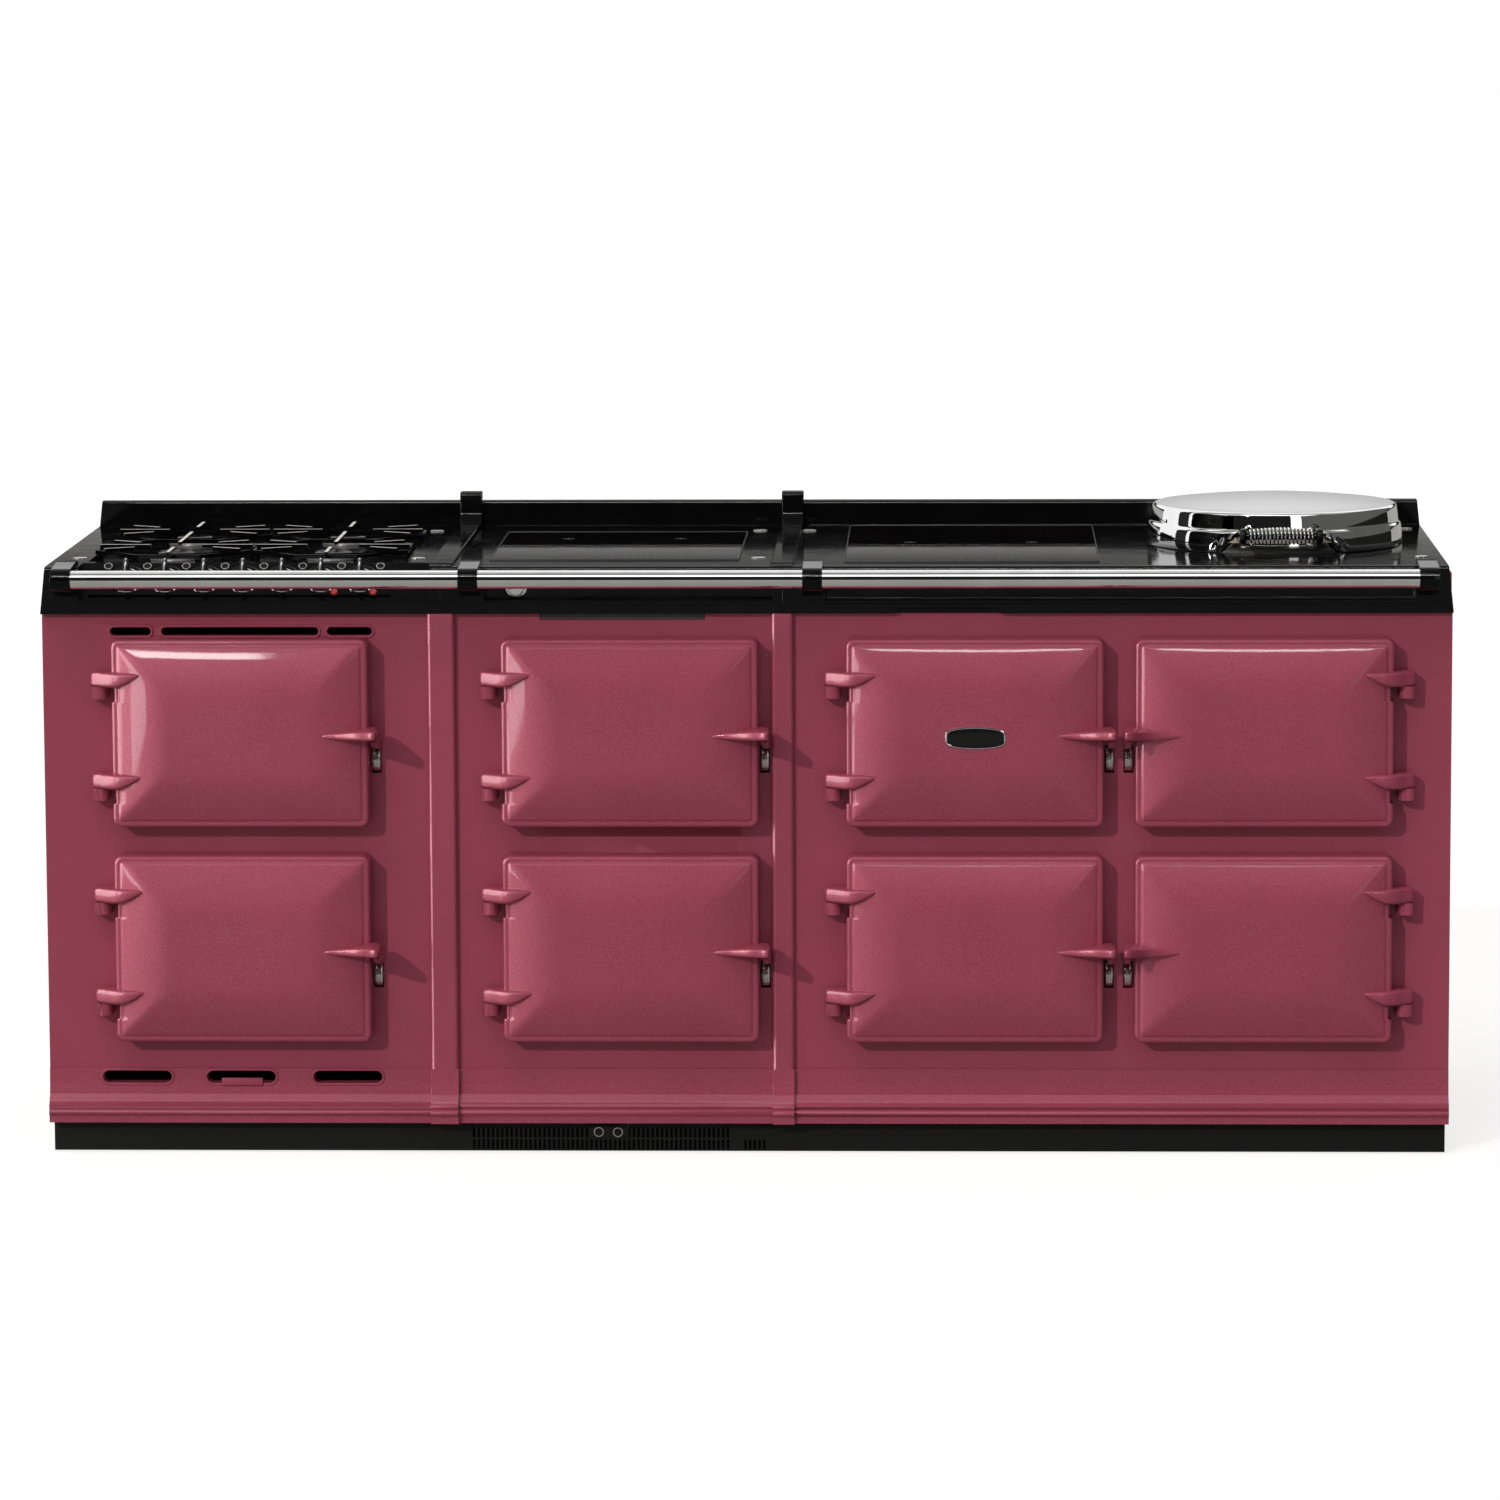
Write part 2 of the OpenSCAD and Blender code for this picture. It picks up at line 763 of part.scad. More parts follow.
module top_plate_right() {
    color(black) difference() {
        plate_sides(x2, x3, 0, hob_draft) {
            along_x(x2, x2 + bracket_block) polygon(block_outline());
            along_x(x2 + bracket_block, x3 - end_block) polygon(recess_outline());
            along_x(x3 - end_block, x3 + 1) polygon(block_outline());
        }
        translate([glass_right_at[0] - glass_fit, glass_right_at[1] - glass_fit,
            z_hob - glass_t + glass_up])
            cube([glass_right_w + 2 * glass_fit, glass_right_l + 2 * glass_fit, glass_t]);
        translate([lid_x, lid_y, z_hob - hotplate_sink])
            cylinder(r = hotplate_r + glass_fit, h = hotplate_sink + 1, $fn = 96);
        along_y(y_lip - 1, y_lip + 8) polygon([
            [x2 + notch_x, z_apron - 1],
            [x2 + notch_x + notch_w, z_apron - 1],
            [x2 + notch_x + notch_w - notch_h, z_apron + notch_h],
            [x2 + notch_x + notch_h, z_apron + notch_h],
        ]);
    }
}

module joint_covers() {
    cap_top = upstand_h + 14;
    cap_out = 6;
    for (x = [x1, x2])
        color(black) along_x(x - strip_w / 2, x + strip_w / 2) polygon([
            [y_lip + lip_r, z_hob],
            [y_upstand, z_hob],
            [y_upstand, z_hob + upstand_h - 5],
            [y_upstand + 1, z_hob + upstand_h - 2],
            [y_upstand + 4, z_hob + upstand_h],
            [y_back - 2, z_hob + upstand_h],
            [y_back, z_hob + cap_top - 6],
            [y_back - 2, z_hob + cap_top],
            [y_upstand, z_hob + cap_top],
            [y_upstand - cap_out, z_hob + cap_top - 4],
            [y_upstand - cap_out, z_hob + strip_h + 14],
            [y_upstand - cap_out - 12, z_hob + strip_h],
            [y_lip + lip_r + 3, z_hob + strip_h],
        ]);
}

// ---- Rail ----

module hand_rail() {
    color(chrome) x_cylinder(x0 + rail_inset, rail_y, rail_z, rail_r, x3 - x0 - 2 * rail_inset);
}

// One bracket: a collar round the rail and an arm that hooks over the hob's lip
module rail_bracket(x) {
    r = rail_r + collar_t;
    along_x(x - bracket_w / 2, x + bracket_w / 2) {
        translate([rail_y, rail_z]) circle(r);
        polygon(concat(
            [
                [rail_y, rail_z - r],
                [rail_y, rail_z + r],
                [y_lip - bracket_neck, z_hob + bracket_top],
                [y_lip + bracket_lap - bracket_bevel[0], z_hob + bracket_top],
                [y_lip + bracket_lap, z_hob + bracket_top - bracket_bevel[1]],
                [y_lip + bracket_lap, z_hob],
            ],
            lip_points(),
            [[y_lip, z_apron + bracket_foot], [y_lip - bracket_arm, z_apron + bracket_foot]]
        ));
    }
}

module rail_brackets() {
    color(black) difference() {
        for (x = bracket_xs) rail_bracket(x);
        x_cylinder(x0 + rail_inset, rail_y, rail_z, rail_r + rail_fit, x3 - x0 - 2 * rail_inset);
    }
}

// ---- Hobs ----

module ceramic_hobs() {
    color("#0b0b0d") {
        translate([glass_mid_at[0], glass_mid_at[1], z_hob - glass_t + glass_up])
            cube([glass_mid_w, glass_mid_l, glass_t]);
        translate([glass_right_at[0], glass_right_at[1], z_hob - glass_t + glass_up])
            cube([glass_right_w, glass_right_l, glass_t]);
    }
}

module hotplate() {
    color(iron) translate([lid_x, lid_y, z_hob - hotplate_sink]) rotate_extrude($fn = 96) polygon([
        [0, 0],
        [hotplate_r, 0],
        [hotplate_r, hotplate_sink + hotplate_up - 3],
        [hotplate_r - 3, hotplate_sink + hotplate_up],
        [0, hotplate_sink + hotplate_up],
    ]);
}

// Left corner of a pan support on the well's floor; side is 0 for the left one
function support_at(side) = [
    well[0] + support_clear + side * (support_w + support_gap),
    well[1] + support_clear, well[2]
];
function burner_at(side, row) = support_at(side) + [support_w / 2, burner_y[row], 0];

module gas_burners() {
    for (side = [0, 1], row = [0, 1])
        translate(burner_at(side, row)) {
            color(steel) rotate_extrude() polygon([
                [0, 0],
                [burner_base_r, 0],
                [burner_base_r - 2, burner_base_h],
                [burner_r - 2, burner_base_h + 1],
                [burner_r - 2, burner_cap_z],
                [0, burner_cap_z],
            ]);
            color(iron) translate([0, 0, burner_cap_z]) rotate_extrude() polygon([
                [0, 0],
                [burner_r, 0],
                [burner_r, burner_cap_h - 2],
                [burner_r - 4, burner_cap_h],
                [0, burner_cap_h],
            ]);
        }
}

// A bar of a pan support between two points in plan, each end running on by a quarter of its width
module support_bar(a, b, low, height) {
    d = b - a;
    translate([a[0], a[1], low]) rotate(atan2(d[1], d[0]))
        translate([-bar_w / 4, -bar_w / 2, 0]) cube([norm(d) + bar_w / 2, bar_w, height]);
}

// A pan support: an eight-sided ring of bars round each burner, fingers over it, and short legs
module pan_support(side) {
    finger_z = well_sink + support_h - bar_h;
    ring_z = finger_z + ring_lap - ring_h;
    mid = support_w / 2;
    half = (support_w - bar_w) / 2;
    flats = [bar_w / 2, support_l / 2, support_l - bar_w / 2];
    color(steel) translate(support_at(side)) {
        for (y = flats) support_bar([mid - ring_flat, y], [mid + ring_flat, y], ring_z, ring_h);
        for (row = [0, 1], s = [-1, 1]) {
            y = burner_y[row];
            near = flats[row];
            far = flats[row + 1];
            support_bar([mid + s * ring_flat, near], [mid + s * half, near + ring_cut], ring_z, ring_h);
            support_bar([mid + s * half, near + ring_cut], [mid + s * half, far - ring_cut], ring_z, ring_h);
            support_bar([mid + s * half, far - ring_cut], [mid + s * ring_flat, far], ring_z, ring_h);
            support_bar([mid + s * finger_in, y], [mid + s * half, y], finger_z, bar_h);
            support_bar([mid, y + s * finger_in], [mid, s < 0 ? near : far], finger_z, bar_h);
            for (end = [near, far]) {
                out = [s * (ring_flat + diagonal[1] * (half - ring_flat)),
                    end - y + (end < y ? 1 : -1) * diagonal[1] * ring_cut];
                support_bar([mid, y] + diagonal[0] * out, [mid, y] + out, finger_z, bar_h);
            }
            translate([mid + s * half - bar_w / 2, y - bar_w, 0]) cube([bar_w, 2 * bar_w, ring_z + 1]);
        }
        for (x = [mid - ring_flat, mid + ring_flat], y = [flats[0], flats[2]])
            translate([x - bar_w, y - bar_w / 2, 0]) cube([2 * bar_w, bar_w, ring_z + 1]);
    }
}

// ---- Controls ----

module control_panels() {
    color(black) intersection() {
        on_slope(fascia_x) translate([0, -fascia_l / 2, 0]) cube([fascia_w, fascia_l, fascia_t]);
        difference() {
            block([x0, y_lip - 50, z_apron], [x1, y_back, z_hob + 50]);
            for (k = [0 : knobs - 1])
                on_slope(knob_at(k)[0]) translate([0, 0, -1]) cylinder(r = spindle_r + 0.4, h = 9);
        }
    }
    color("#c8281e") for (x = lamp_x)
        on_slope(x0 + x) translate([0, -fascia_l / 2 + 7, fascia_t]) cylinder(r = lamp_r, h = 1.5);
    color("#1a1a1e") at_door(badge_door)
        translate([pin_out + mouth_lap + touch_in, plate_t + control_d - oven_t - touch_t,
            mouth_lap + touch_in])
            cube([mouth_w - 2 * touch_in, touch_t, mouth_h - 2 * touch_in]);
}

// The gas taps and switches behind the fascia, each with a spindle for its knob
module control_taps() {
    color(iron) for (k = [0 : knobs - 1]) on_slope(knob_at(k)[0]) {
        translate([0, 0, -tap_l]) cylinder(r = tap_r, h = tap_l);
        cylinder(r = spindle_r, h = fascia_t + spindle_l);
    }
}

// A straight pipe from a to b, and a pipe that follows a path with a square elbow at each bend
module rod(a, b, r) {
    d = b - a;
    translate(a) rotate([0, acos(d[2] / norm(d)), atan2(d[1], d[0])]) cylinder(r = r, h = norm(d));
}
module pipe(path, r) {
    for (k = [1 : len(path) - 1]) rod(path[k - 1], path[k], r);
    for (k = [1 : len(path) - 2]) translate(path[k]) cube(2 * (r + elbow_t), center = true);
}

// The gas supply pipe behind the taps, and a pipe from each gas tap to its burner
module gas_pipes() {
    across = [0, slope_out[2], -slope_out[1]];
    behind = -slope_out * (slope_wall + supply_r + 1) + across * (tap_r + supply_r + supply_gap);
    color("#b08a4a") {
        rod(knob_at(0) + behind - [supply_end, 0, 0],
            knob_at(gas_taps - 1) + behind + [supply_end, 0, 0], supply_r);
        for (k = [0 : gas_taps - 1])
            let (
                start = knob_at(k) - slope_out * tap_l,
                bend = start - slope_out * pipe_drop,
                end = burner_at(tap_burner[k][0], tap_burner[k][1])
            ) pipe([start, bend, [bend[0], end[1], bend[2]], [end[0], end[1], bend[2]],
                [end[0], end[1], z_casing]], pipe_r);
    }
}

module knob(k) {
    bore_l = spindle_l + knob_gap;
    color(black) on_slope(knob_at(k)[0]) translate([0, 0, fascia_t + knob_gap]) difference() {
        union() {
            rotate_extrude() polygon([
                [0, 0],
                [knob_r, 0],
                [knob_r, 3],
                [knob_r - 2, 6],
                [knob_r - 6, 9],
                [knob_r - 8, 14],
                [0, 14],
            ]);
            translate([-3.5, -knob_r + 3, 5]) cube([7, 2 * knob_r - 6, knob_h - 5]);
        }
        translate([0, 0, -1]) cylinder(r = spindle_r + run_clear, h = bore_l + 1);
    }
}

module thermostat_dial() {
    color(chrome) translate([x1 + dial_x, y_recess - knob_gap, dial_z]) rotate([90, 0, 0]) {
        rotate_extrude() polygon([
            [0, 0],
            [dial_r, 0],
            [dial_r, 5],
            [dial_r - 3, 7],
            [dial_r - 4, dial_l - 2],
            [dial_r - 6, dial_l],
            [0, dial_l],
        ]);
        translate([0, 0, -dial_shaft_l]) cylinder(r = dial_shaft_r, h = dial_shaft_l + 1);
    }
}

// ---- Ovens ----

// The elements under the ceramic hobs and the hotplate, and the plates under the ovens
module heating_elements() {
    color(steel) {
        for (f = [1 / 4, 3 / 4]) {
            translate([glass_mid_at[0] + glass_mid_w / 2, glass_mid_at[1] + f * glass_mid_l,
                z_casing - element_h])
                cylinder(r = element_r, h = element_h);
            translate([glass_right_at[0] + glass_right_w / 2, glass_right_at[1] + f * glass_right_l,
                z_casing - element_h])
                cylinder(r = element_r, h = element_h);
        }
        translate([lid_x, lid_y, z_casing - element_h]) cylinder(r = hotplate_r - 10, h = element_h);
        for (i = doors) if (i != badge_door) at_door(i)
            translate([pin_out + mouth_lap + oven_element_in, plate_t + oven_element_in,
                mouth_lap - oven_t - oven_element_t])
                cube([mouth_w - 2 * oven_element_in, oven_d - 2 * oven_element_in, oven_element_t]);
    }
}

function oven_depth(i) = i == badge_door ? control_d : oven_d;

module oven_boxes() {
    color(steel) for (i = doors) at_door(i) translate([pin_out + mouth_lap, plate_t, mouth_lap]) {
        difference() {
            translate([-oven_t, 0, -oven_t])
                cube([mouth_w + 2 * oven_t, oven_depth(i), mouth_h + 2 * oven_t]);
            translate([0, -1, 0]) cube([mouth_w, oven_depth(i) - oven_t + 1, mouth_h]);
        }
        if (i != badge_door) for (x = [-1, mouth_w - 7])
            translate([x, 30, shelf_z - 4]) cube([8, oven_d - 30 - oven_t, 4]);
    }
}

module oven_shelves() {
    w = mouth_w - 2;
    l = oven_d - 60;
    pitch = (w - 6) / (shelf_bars + 1);
    color(steel) for (i = doors) if (i != badge_door)
        at_door(i) translate([pin_out + mouth_lap + 1, plate_t + 45, mouth_lap + shelf_z]) {
            for (y = [0, l - 6]) translate([0, y, 0]) cube([w, 6, 6]);
            for (x = [0, w - 6]) translate([x, 0, 0]) cube([6, l, 6]);
            for (k = [1 : shelf_bars]) translate([k * pitch + 1, 0, 1]) cube([4, l, 4]);
        }
}

// ---- Doors ----

// Rings of a door's outline, from its back over the flat rim to the crowned face
function door_ring(inset, out) = [
    for (p = round_rect(pin_out + inset, inset, door_w - 2 * inset, door_h - 2 * inset,
        max(2, door_corner - inset / 2)))
        [p[0], -out, p[1]]
];
door_steps = [
    [0, 0], [0, 0.8], [1.5, 0.91], [5, 1], [13, 1.01],
];
crown_steps = [[17, 0.14], [28, 0.45], [44, 0.72], [66, 0.92], [92, 1]];

module door_casting() {
    rim = door_rim - door_back;
    loft(concat(
        [for (s = door_steps) door_ring(s[0], door_back + rim * s[1])],
        [for (s = crown_steps) door_ring(s[0], door_rim + 0.5 + door_crown * s[1])]
    ));
}

// A hinge arm: a barrel on the pin and a tapering bar onto the door's face
module hinge_arm() {
    linear_extrude(arm_h) difference() {
        union() {
            translate([0, -pin_front]) circle(barrel_r);
            polygon([
                [0, -pin_front + barrel_r],
                [pin_out + arm_side[0][0], -pin_front + barrel_r],
                for (p = arm_side) [pin_out + p[0], -door_rim - p[1]],
                [0, -pin_front - barrel_r],
            ]);
        }
        translate([0, -pin_front]) circle(pin_r + run_clear);
    }
}

// The latch handle: a fin that rises from the door's face, with a hook over the roller
module latch_handle() {
    e = free_edge;
    out = e + handle_out;
    translate([0, 0, fin_z]) linear_extrude(fin_t) polygon([
        for (p = handle_side) [e + p[0], -door_rim - p[1]],
        for (p = handle_nose) [e + p[0], -handle_reach + p[1]],
        [out - nose_in, -handle_reach + nose_back[0]],
        [out, -handle_reach + nose_back[1]],
        [out, -hook_back],
        [out - hook_t, -hook_back],
        [out - hook_t, -door_rim - handle_side[0][1]],
    ]);
    drop = fin_z - roller_z - roller_r - hook_gap;
    translate([0, 0, fin_z]) along_x(out - hook_t, out) polygon([
        [-hook_back, 1],
        [-hook_back, -drop],
        [-hook_reach[0], -drop],
        [-hook_reach[1], -drop / 2],
        [-hook_reach[2], 1],
    ]);
}

module door(i) {
    color(enamel) at_door(i) {
        difference() {
            door_casting();
            translate([pin_out + pocket_lap, -door_back - pocket_d, pocket_lap])
                cube([door_w - 2 * pocket_lap, pocket_d + 1, door_h - 2 * pocket_lap]);
            for (z = hinge_z) translate([0, -pin_front, z - lug_h - 4])
                cylinder(r = notch_r, h = lug_h + 4);
        }
        for (z = hinge_z) translate([0, 0, z]) hinge_arm();
        latch_handle();
    }
}

// The insulated pan that closes the door's back and reaches into the mouth
module liner(i) {
    flange_lap = pocket_lap - 6;
    lap = mouth_lap + liner_clear;
    inner = lap + liner_t;
    color(steel) at_door(i) difference() {
        union() {
            translate([pin_out + flange_lap, -door_back, flange_lap])
                cube([door_w - 2 * flange_lap, flange_t, door_h - 2 * flange_lap]);
            translate([pin_out + lap, -door_back, lap])
                cube([door_w - 2 * lap, liner_d, door_h - 2 * lap]);
        }
        translate([pin_out + inner, -door_back - 1, inner])
            cube([door_w - 2 * inner, liner_d - liner_t + 1, door_h - 2 * inner]);
    }
}

module roller(i) {
    color(steel) at_door(i) difference() {
        x_cylinder(free_edge + roller_off, roller_in, roller_z, roller_r, roller_w);
        x_cylinder(free_edge + roller_off - 1, roller_in, roller_z, axle_r + run_clear, roller_w + 2);
    }
}

module hinge_pins() {
    color(steel) for (i = doors, z = hinge_z) at_door(i)
        translate([0, -pin_front, z - lug_gap - lug_h + lug_floor])
            cylinder(r = pin_r, h = lug_h - lug_floor + lug_gap + arm_h);
}

// ---- Lid ----

// The lid's outer outline, from its lower band up to the top of the dome, moved in by e
function lid_outline(e) = [
    [lid_r - 6 - e, band_h],
    [lid_r - 9 - e, band_h + 1],
    [lid_top_r - e, shoulder_h - 3],
    [lid_top_r - 4 - e, shoulder_h - e / 2],
    for (k = [1 : 6])
        let (r = (lid_top_r - 4 - e) * (1 - k / 6))
            [r, shoulder_h - e / 2 + (dome_h - shoulder_h - e / 2) * (1 - pow(1 - k / 6, 2))],
];

module lid_solid(e, foot) {
    rotate_extrude($fn = 96) polygon(concat([[0, foot], [lid_r - e, foot]], lid_outline(e)));
}

module at_lid() {
    translate([lid_x, lid_y, z_hob]) children();
}

module lid_shell() {
    color(chrome) at_lid() difference() {
        union() {
            lid_solid(0, lid_gap);
            for (x = lid_arm_x) along_x(x, x + lid_arm_w) {
                translate([lid_pin_y, lid_pin_z]) circle(lid_barrel_r);
                polygon([
                    [lid_r - lid_arm_in, lid_arm_z[0]],
                    [lid_pin_y, lid_pin_z - lid_barrel_r],
                    [lid_pin_y, lid_pin_z + lid_barrel_r],
                    [lid_r - lid_arm_in, lid_arm_z[1]],
                ]);
            }
        }
        lid_solid(lid_t, 0);
        x_cylinder(ear_x[0], lid_pin_y, lid_pin_z, lid_pin_r + run_clear,
            ear_x[1] - ear_x[0] + ear_w);
    }
}

// The insulation that fills the lid down to just above the hotplate
module lid_liner() {
    color(steel) at_lid() intersection() {
        lid_solid(lid_t, 0);
        translate([0, 0, liner_z]) cylinder(r = lid_r + 10, h = dome_h);
    }
}

module lid_hinge_bracket() {
    color(black) at_lid() {
        translate([-bracket_base[0] / 2, lid_pin_y - 16, 0]) cube(bracket_base);
        for (x = ear_x) along_x(x, x + ear_w) {
            translate([lid_pin_y, lid_pin_z]) circle(ear_r);
            translate([lid_pin_y - ear_r, 1]) square([2 * ear_r, lid_pin_z - 1]);
        }
    }
    color(steel) at_lid()
        x_cylinder(ear_x[0] + 1, lid_pin_y, lid_pin_z, lid_pin_r, ear_x[1] - ear_x[0] + ear_w - 2);
}

// The rod that carries the coil, between two lugs on the lid's front
module lid_handle() {
    color(black) at_lid() difference() {
        union() {
            x_cylinder(-lug_x - 1, rod_y, rod_z, rod_r, 2 * lug_x + 2);
            for (x = [-lug_x - handle_lug_w, lug_x]) along_x(x, x + handle_lug_w) {
                translate([rod_y, rod_z]) circle(d = handle_lug_h);
                polygon([
                    [rod_y, rod_z - handle_lug_h / 2],
                    [-lid_r + 40, rod_z - handle_lug_h / 2 + 4],
                    [-lid_r + 40, rod_z + handle_lug_h / 2 - 4],
                    [rod_y, rod_z + handle_lug_h / 2],
                ]);
            }
        }
        lid_solid(0, lid_gap);
    }
}

// The coil's path: a stub out of each lug along the rod, and between them a helix on a barrel
coil_a = 2 * wire_r;
coil_n = coil_turns * coil_rings;
coil_body = 2 * (lug_x - coil_a);
function coil_point(t) =
    let (
        s = t / coil_n,
        r = coil_end_r + (coil_mid_r - coil_end_r) * sin(180 * s),
        a = 360 * t / coil_rings
    ) [-coil_body / 2 + coil_body * s, r * cos(a), r * sin(a)];
coil_path = concat(
    [[-lug_x, coil_end_r, 0]],
    [for (t = [0 : coil_n]) coil_point(t)],
    [[lug_x, coil_end_r, 0]]
);
function unit(v) = v / norm(v);
function coil_tangent(i) =
    let (last = len(coil_path) - 1)
        i == 0 || i == last ? [1, 0, 0]
        : unit(unit(coil_path[i + 1] - coil_path[i]) + unit(coil_path[i] - coil_path[i - 1]));
function coil_ring(i) =
    let (
        p = coil_path[i],
        d = coil_tangent(i),
        out = unit([0, p[1], p[2]]),
        u = unit(out - d * (out * d)),
        v = cross(d, u)
    ) [for (k = [0 : coil_sides - 1]) p + wire_r * (u * cos(60 * k) + v * sin(60 * k))];

// Least distance between the wire's surfaces on different turns, on the path's points
coil_gap = min([
    for (i = [0 : len(coil_path) - 1], j = [i + 5 : 1 : len(coil_path) - 1])
        norm(coil_path[i] - coil_path[j]) - 2 * wire_r
]);

module lid_coil() {
    echo(coil_gap_mm = coil_gap);
    color(chrome) at_lid() translate([0, rod_y, rod_z])
        tube([for (i = [0 : len(coil_path) - 1]) coil_ring(i)]);
}

// A tube through rings of points, all in triangles
module tube(rings) {
    n = len(rings[0]);
    last = len(rings) - 1;
    points = [for (ring = rings, p = ring) p];
    sides = [
        for (k = [0 : last - 1], j = [0 : n - 1])
            let (b = k * n, f = b + n, m = (j + 1) % n)
                each [[b + j, b + m, f + m], [b + j, f + m, f + j]]
    ];
    first_cap = [for (j = [1 : n - 2]) [0, j + 1, j]];
    last_cap = [for (j = [1 : n - 2]) [last * n, last * n + j, last * n + j + 1]];
    polyhedron(points = points, faces = concat(sides, first_cap, last_cap), convexity = 8);
}

plinth();
base_skirts();
front_plates();
pilasters();
casing_panels();
top_plate_left();
top_plate_middle();
top_plate_right();
joint_covers();
hand_rail();
rail_brackets();
ceramic_hobs();
hotplate();
gas_burners();
control_panels();
control_taps();
gas_pipes();
heating_elements();
oven_boxes();
oven_shelves();
hinge_pins();
lid_hinge_bracket();
door(0);  // door_left_upper
door(1);  // door_left_lower
door(2);  // door_middle_upper
door(3);  // door_middle_lower
door(4);  // door_centre_upper
door(5);  // door_centre_lower
door(6);  // door_right_upper
door(7);  // door_right_lower
liner(0);  // liner_left_upper
liner(1);  // liner_left_lower
liner(2);  // liner_middle_upper
liner(3);  // liner_middle_lower
liner(4);  // liner_centre_upper
liner(5);  // liner_centre_lower
liner(6);  // liner_right_upper
liner(7);  // liner_right_lower
roller(0);  // roller_left_upper
roller(1);  // roller_left_lower
roller(2);  // roller_middle_upper
roller(3);  // roller_middle_lower
roller(4);  // roller_centre_upper
roller(5);  // roller_centre_lower
roller(6);  // roller_right_upper
roller(7);  // roller_right_lower
knob(0);  // knob_1
knob(1);  // knob_2
knob(2);  // knob_3
knob(3);  // knob_4
knob(4);  // knob_5
knob(5);  // knob_6
knob(6);  // knob_7
thermostat_dial();
lid_shell();
lid_liner();
lid_handle();
lid_coil();
pan_support(0);  // pan_support_left
pan_support(1);  // pan_support_right
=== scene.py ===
"""Cast iron range cooker: enamel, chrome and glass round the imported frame.

Lengths in the makers' functions are mm, and the cooker's width runs along X with its front at low Y.
"""

import json
import math

import bmesh
import bpy
from mathutils import Matrix, Vector

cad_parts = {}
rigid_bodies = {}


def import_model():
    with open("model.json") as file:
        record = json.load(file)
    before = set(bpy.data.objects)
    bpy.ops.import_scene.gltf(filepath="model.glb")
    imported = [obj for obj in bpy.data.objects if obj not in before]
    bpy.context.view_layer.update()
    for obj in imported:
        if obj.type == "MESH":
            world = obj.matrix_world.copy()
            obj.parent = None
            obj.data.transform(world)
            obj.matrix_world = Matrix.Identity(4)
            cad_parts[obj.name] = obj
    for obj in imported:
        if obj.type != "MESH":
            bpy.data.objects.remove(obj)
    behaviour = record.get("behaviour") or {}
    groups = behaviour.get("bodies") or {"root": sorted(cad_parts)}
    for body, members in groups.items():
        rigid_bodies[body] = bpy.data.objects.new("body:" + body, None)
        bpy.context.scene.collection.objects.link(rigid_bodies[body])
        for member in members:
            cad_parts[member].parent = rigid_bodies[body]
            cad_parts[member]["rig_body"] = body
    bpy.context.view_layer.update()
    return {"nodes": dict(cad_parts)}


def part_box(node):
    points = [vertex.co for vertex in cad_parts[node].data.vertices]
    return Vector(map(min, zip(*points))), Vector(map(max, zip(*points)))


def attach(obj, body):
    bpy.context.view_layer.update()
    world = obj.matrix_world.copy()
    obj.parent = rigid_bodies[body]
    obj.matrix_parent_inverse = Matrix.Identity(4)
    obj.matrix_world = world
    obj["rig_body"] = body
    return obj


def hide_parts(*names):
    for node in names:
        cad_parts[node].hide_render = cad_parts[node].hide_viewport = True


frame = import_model()

MM = 0.001
COOKER = "cooker"
COLUMNS = ("left", "middle", "centre", "right")
ROWS = ("upper", "lower")
DOORS = [f"{column}_{row}" for column in COLUMNS for row in ROWS]
BADGE_DOOR = "centre_upper"

# Sizes that the frame's boxes don't give, in mm
DOOR_W = 378
DOOR_H = 278
FLANGE_LAP = 16
PIN_OUT = 20
RIM_OUT = 42
HINGE_Z = (57, 208)
ARM_H = 22
LUG_H = 18
FIN_Z = 130
HANDLE_REACH = 112
ROLLER_R = 18.5


def box_mm(node):
    """The lowest and highest corner of a CAD node, in mm."""
    low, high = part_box(node)
    return low / MM, high / MM


PLATE_T = 12
UPSTAND_H = 39
CAP_H = 5
# The front plates' face, the hob's surface, the lip's front, the joints of the sections, the two ends of the
# front, and the foot of the burners' caps
FACE_Y = box_mm("front_plates")[1].y - PLATE_T
HOB_Z = box_mm("top_plate_middle")[1].z - UPSTAND_H
LIP_Y = box_mm("top_plate_left")[0].y
SEAMS = (box_mm("top_plate_left")[1].x, box_mm("top_plate_right")[0].x)
SIDES = (box_mm("base_skirts")[0].x, box_mm("base_skirts")[1].x)
CAP_Z = box_mm("gas_burners")[1].z - CAP_H


# ---- Finishes ----

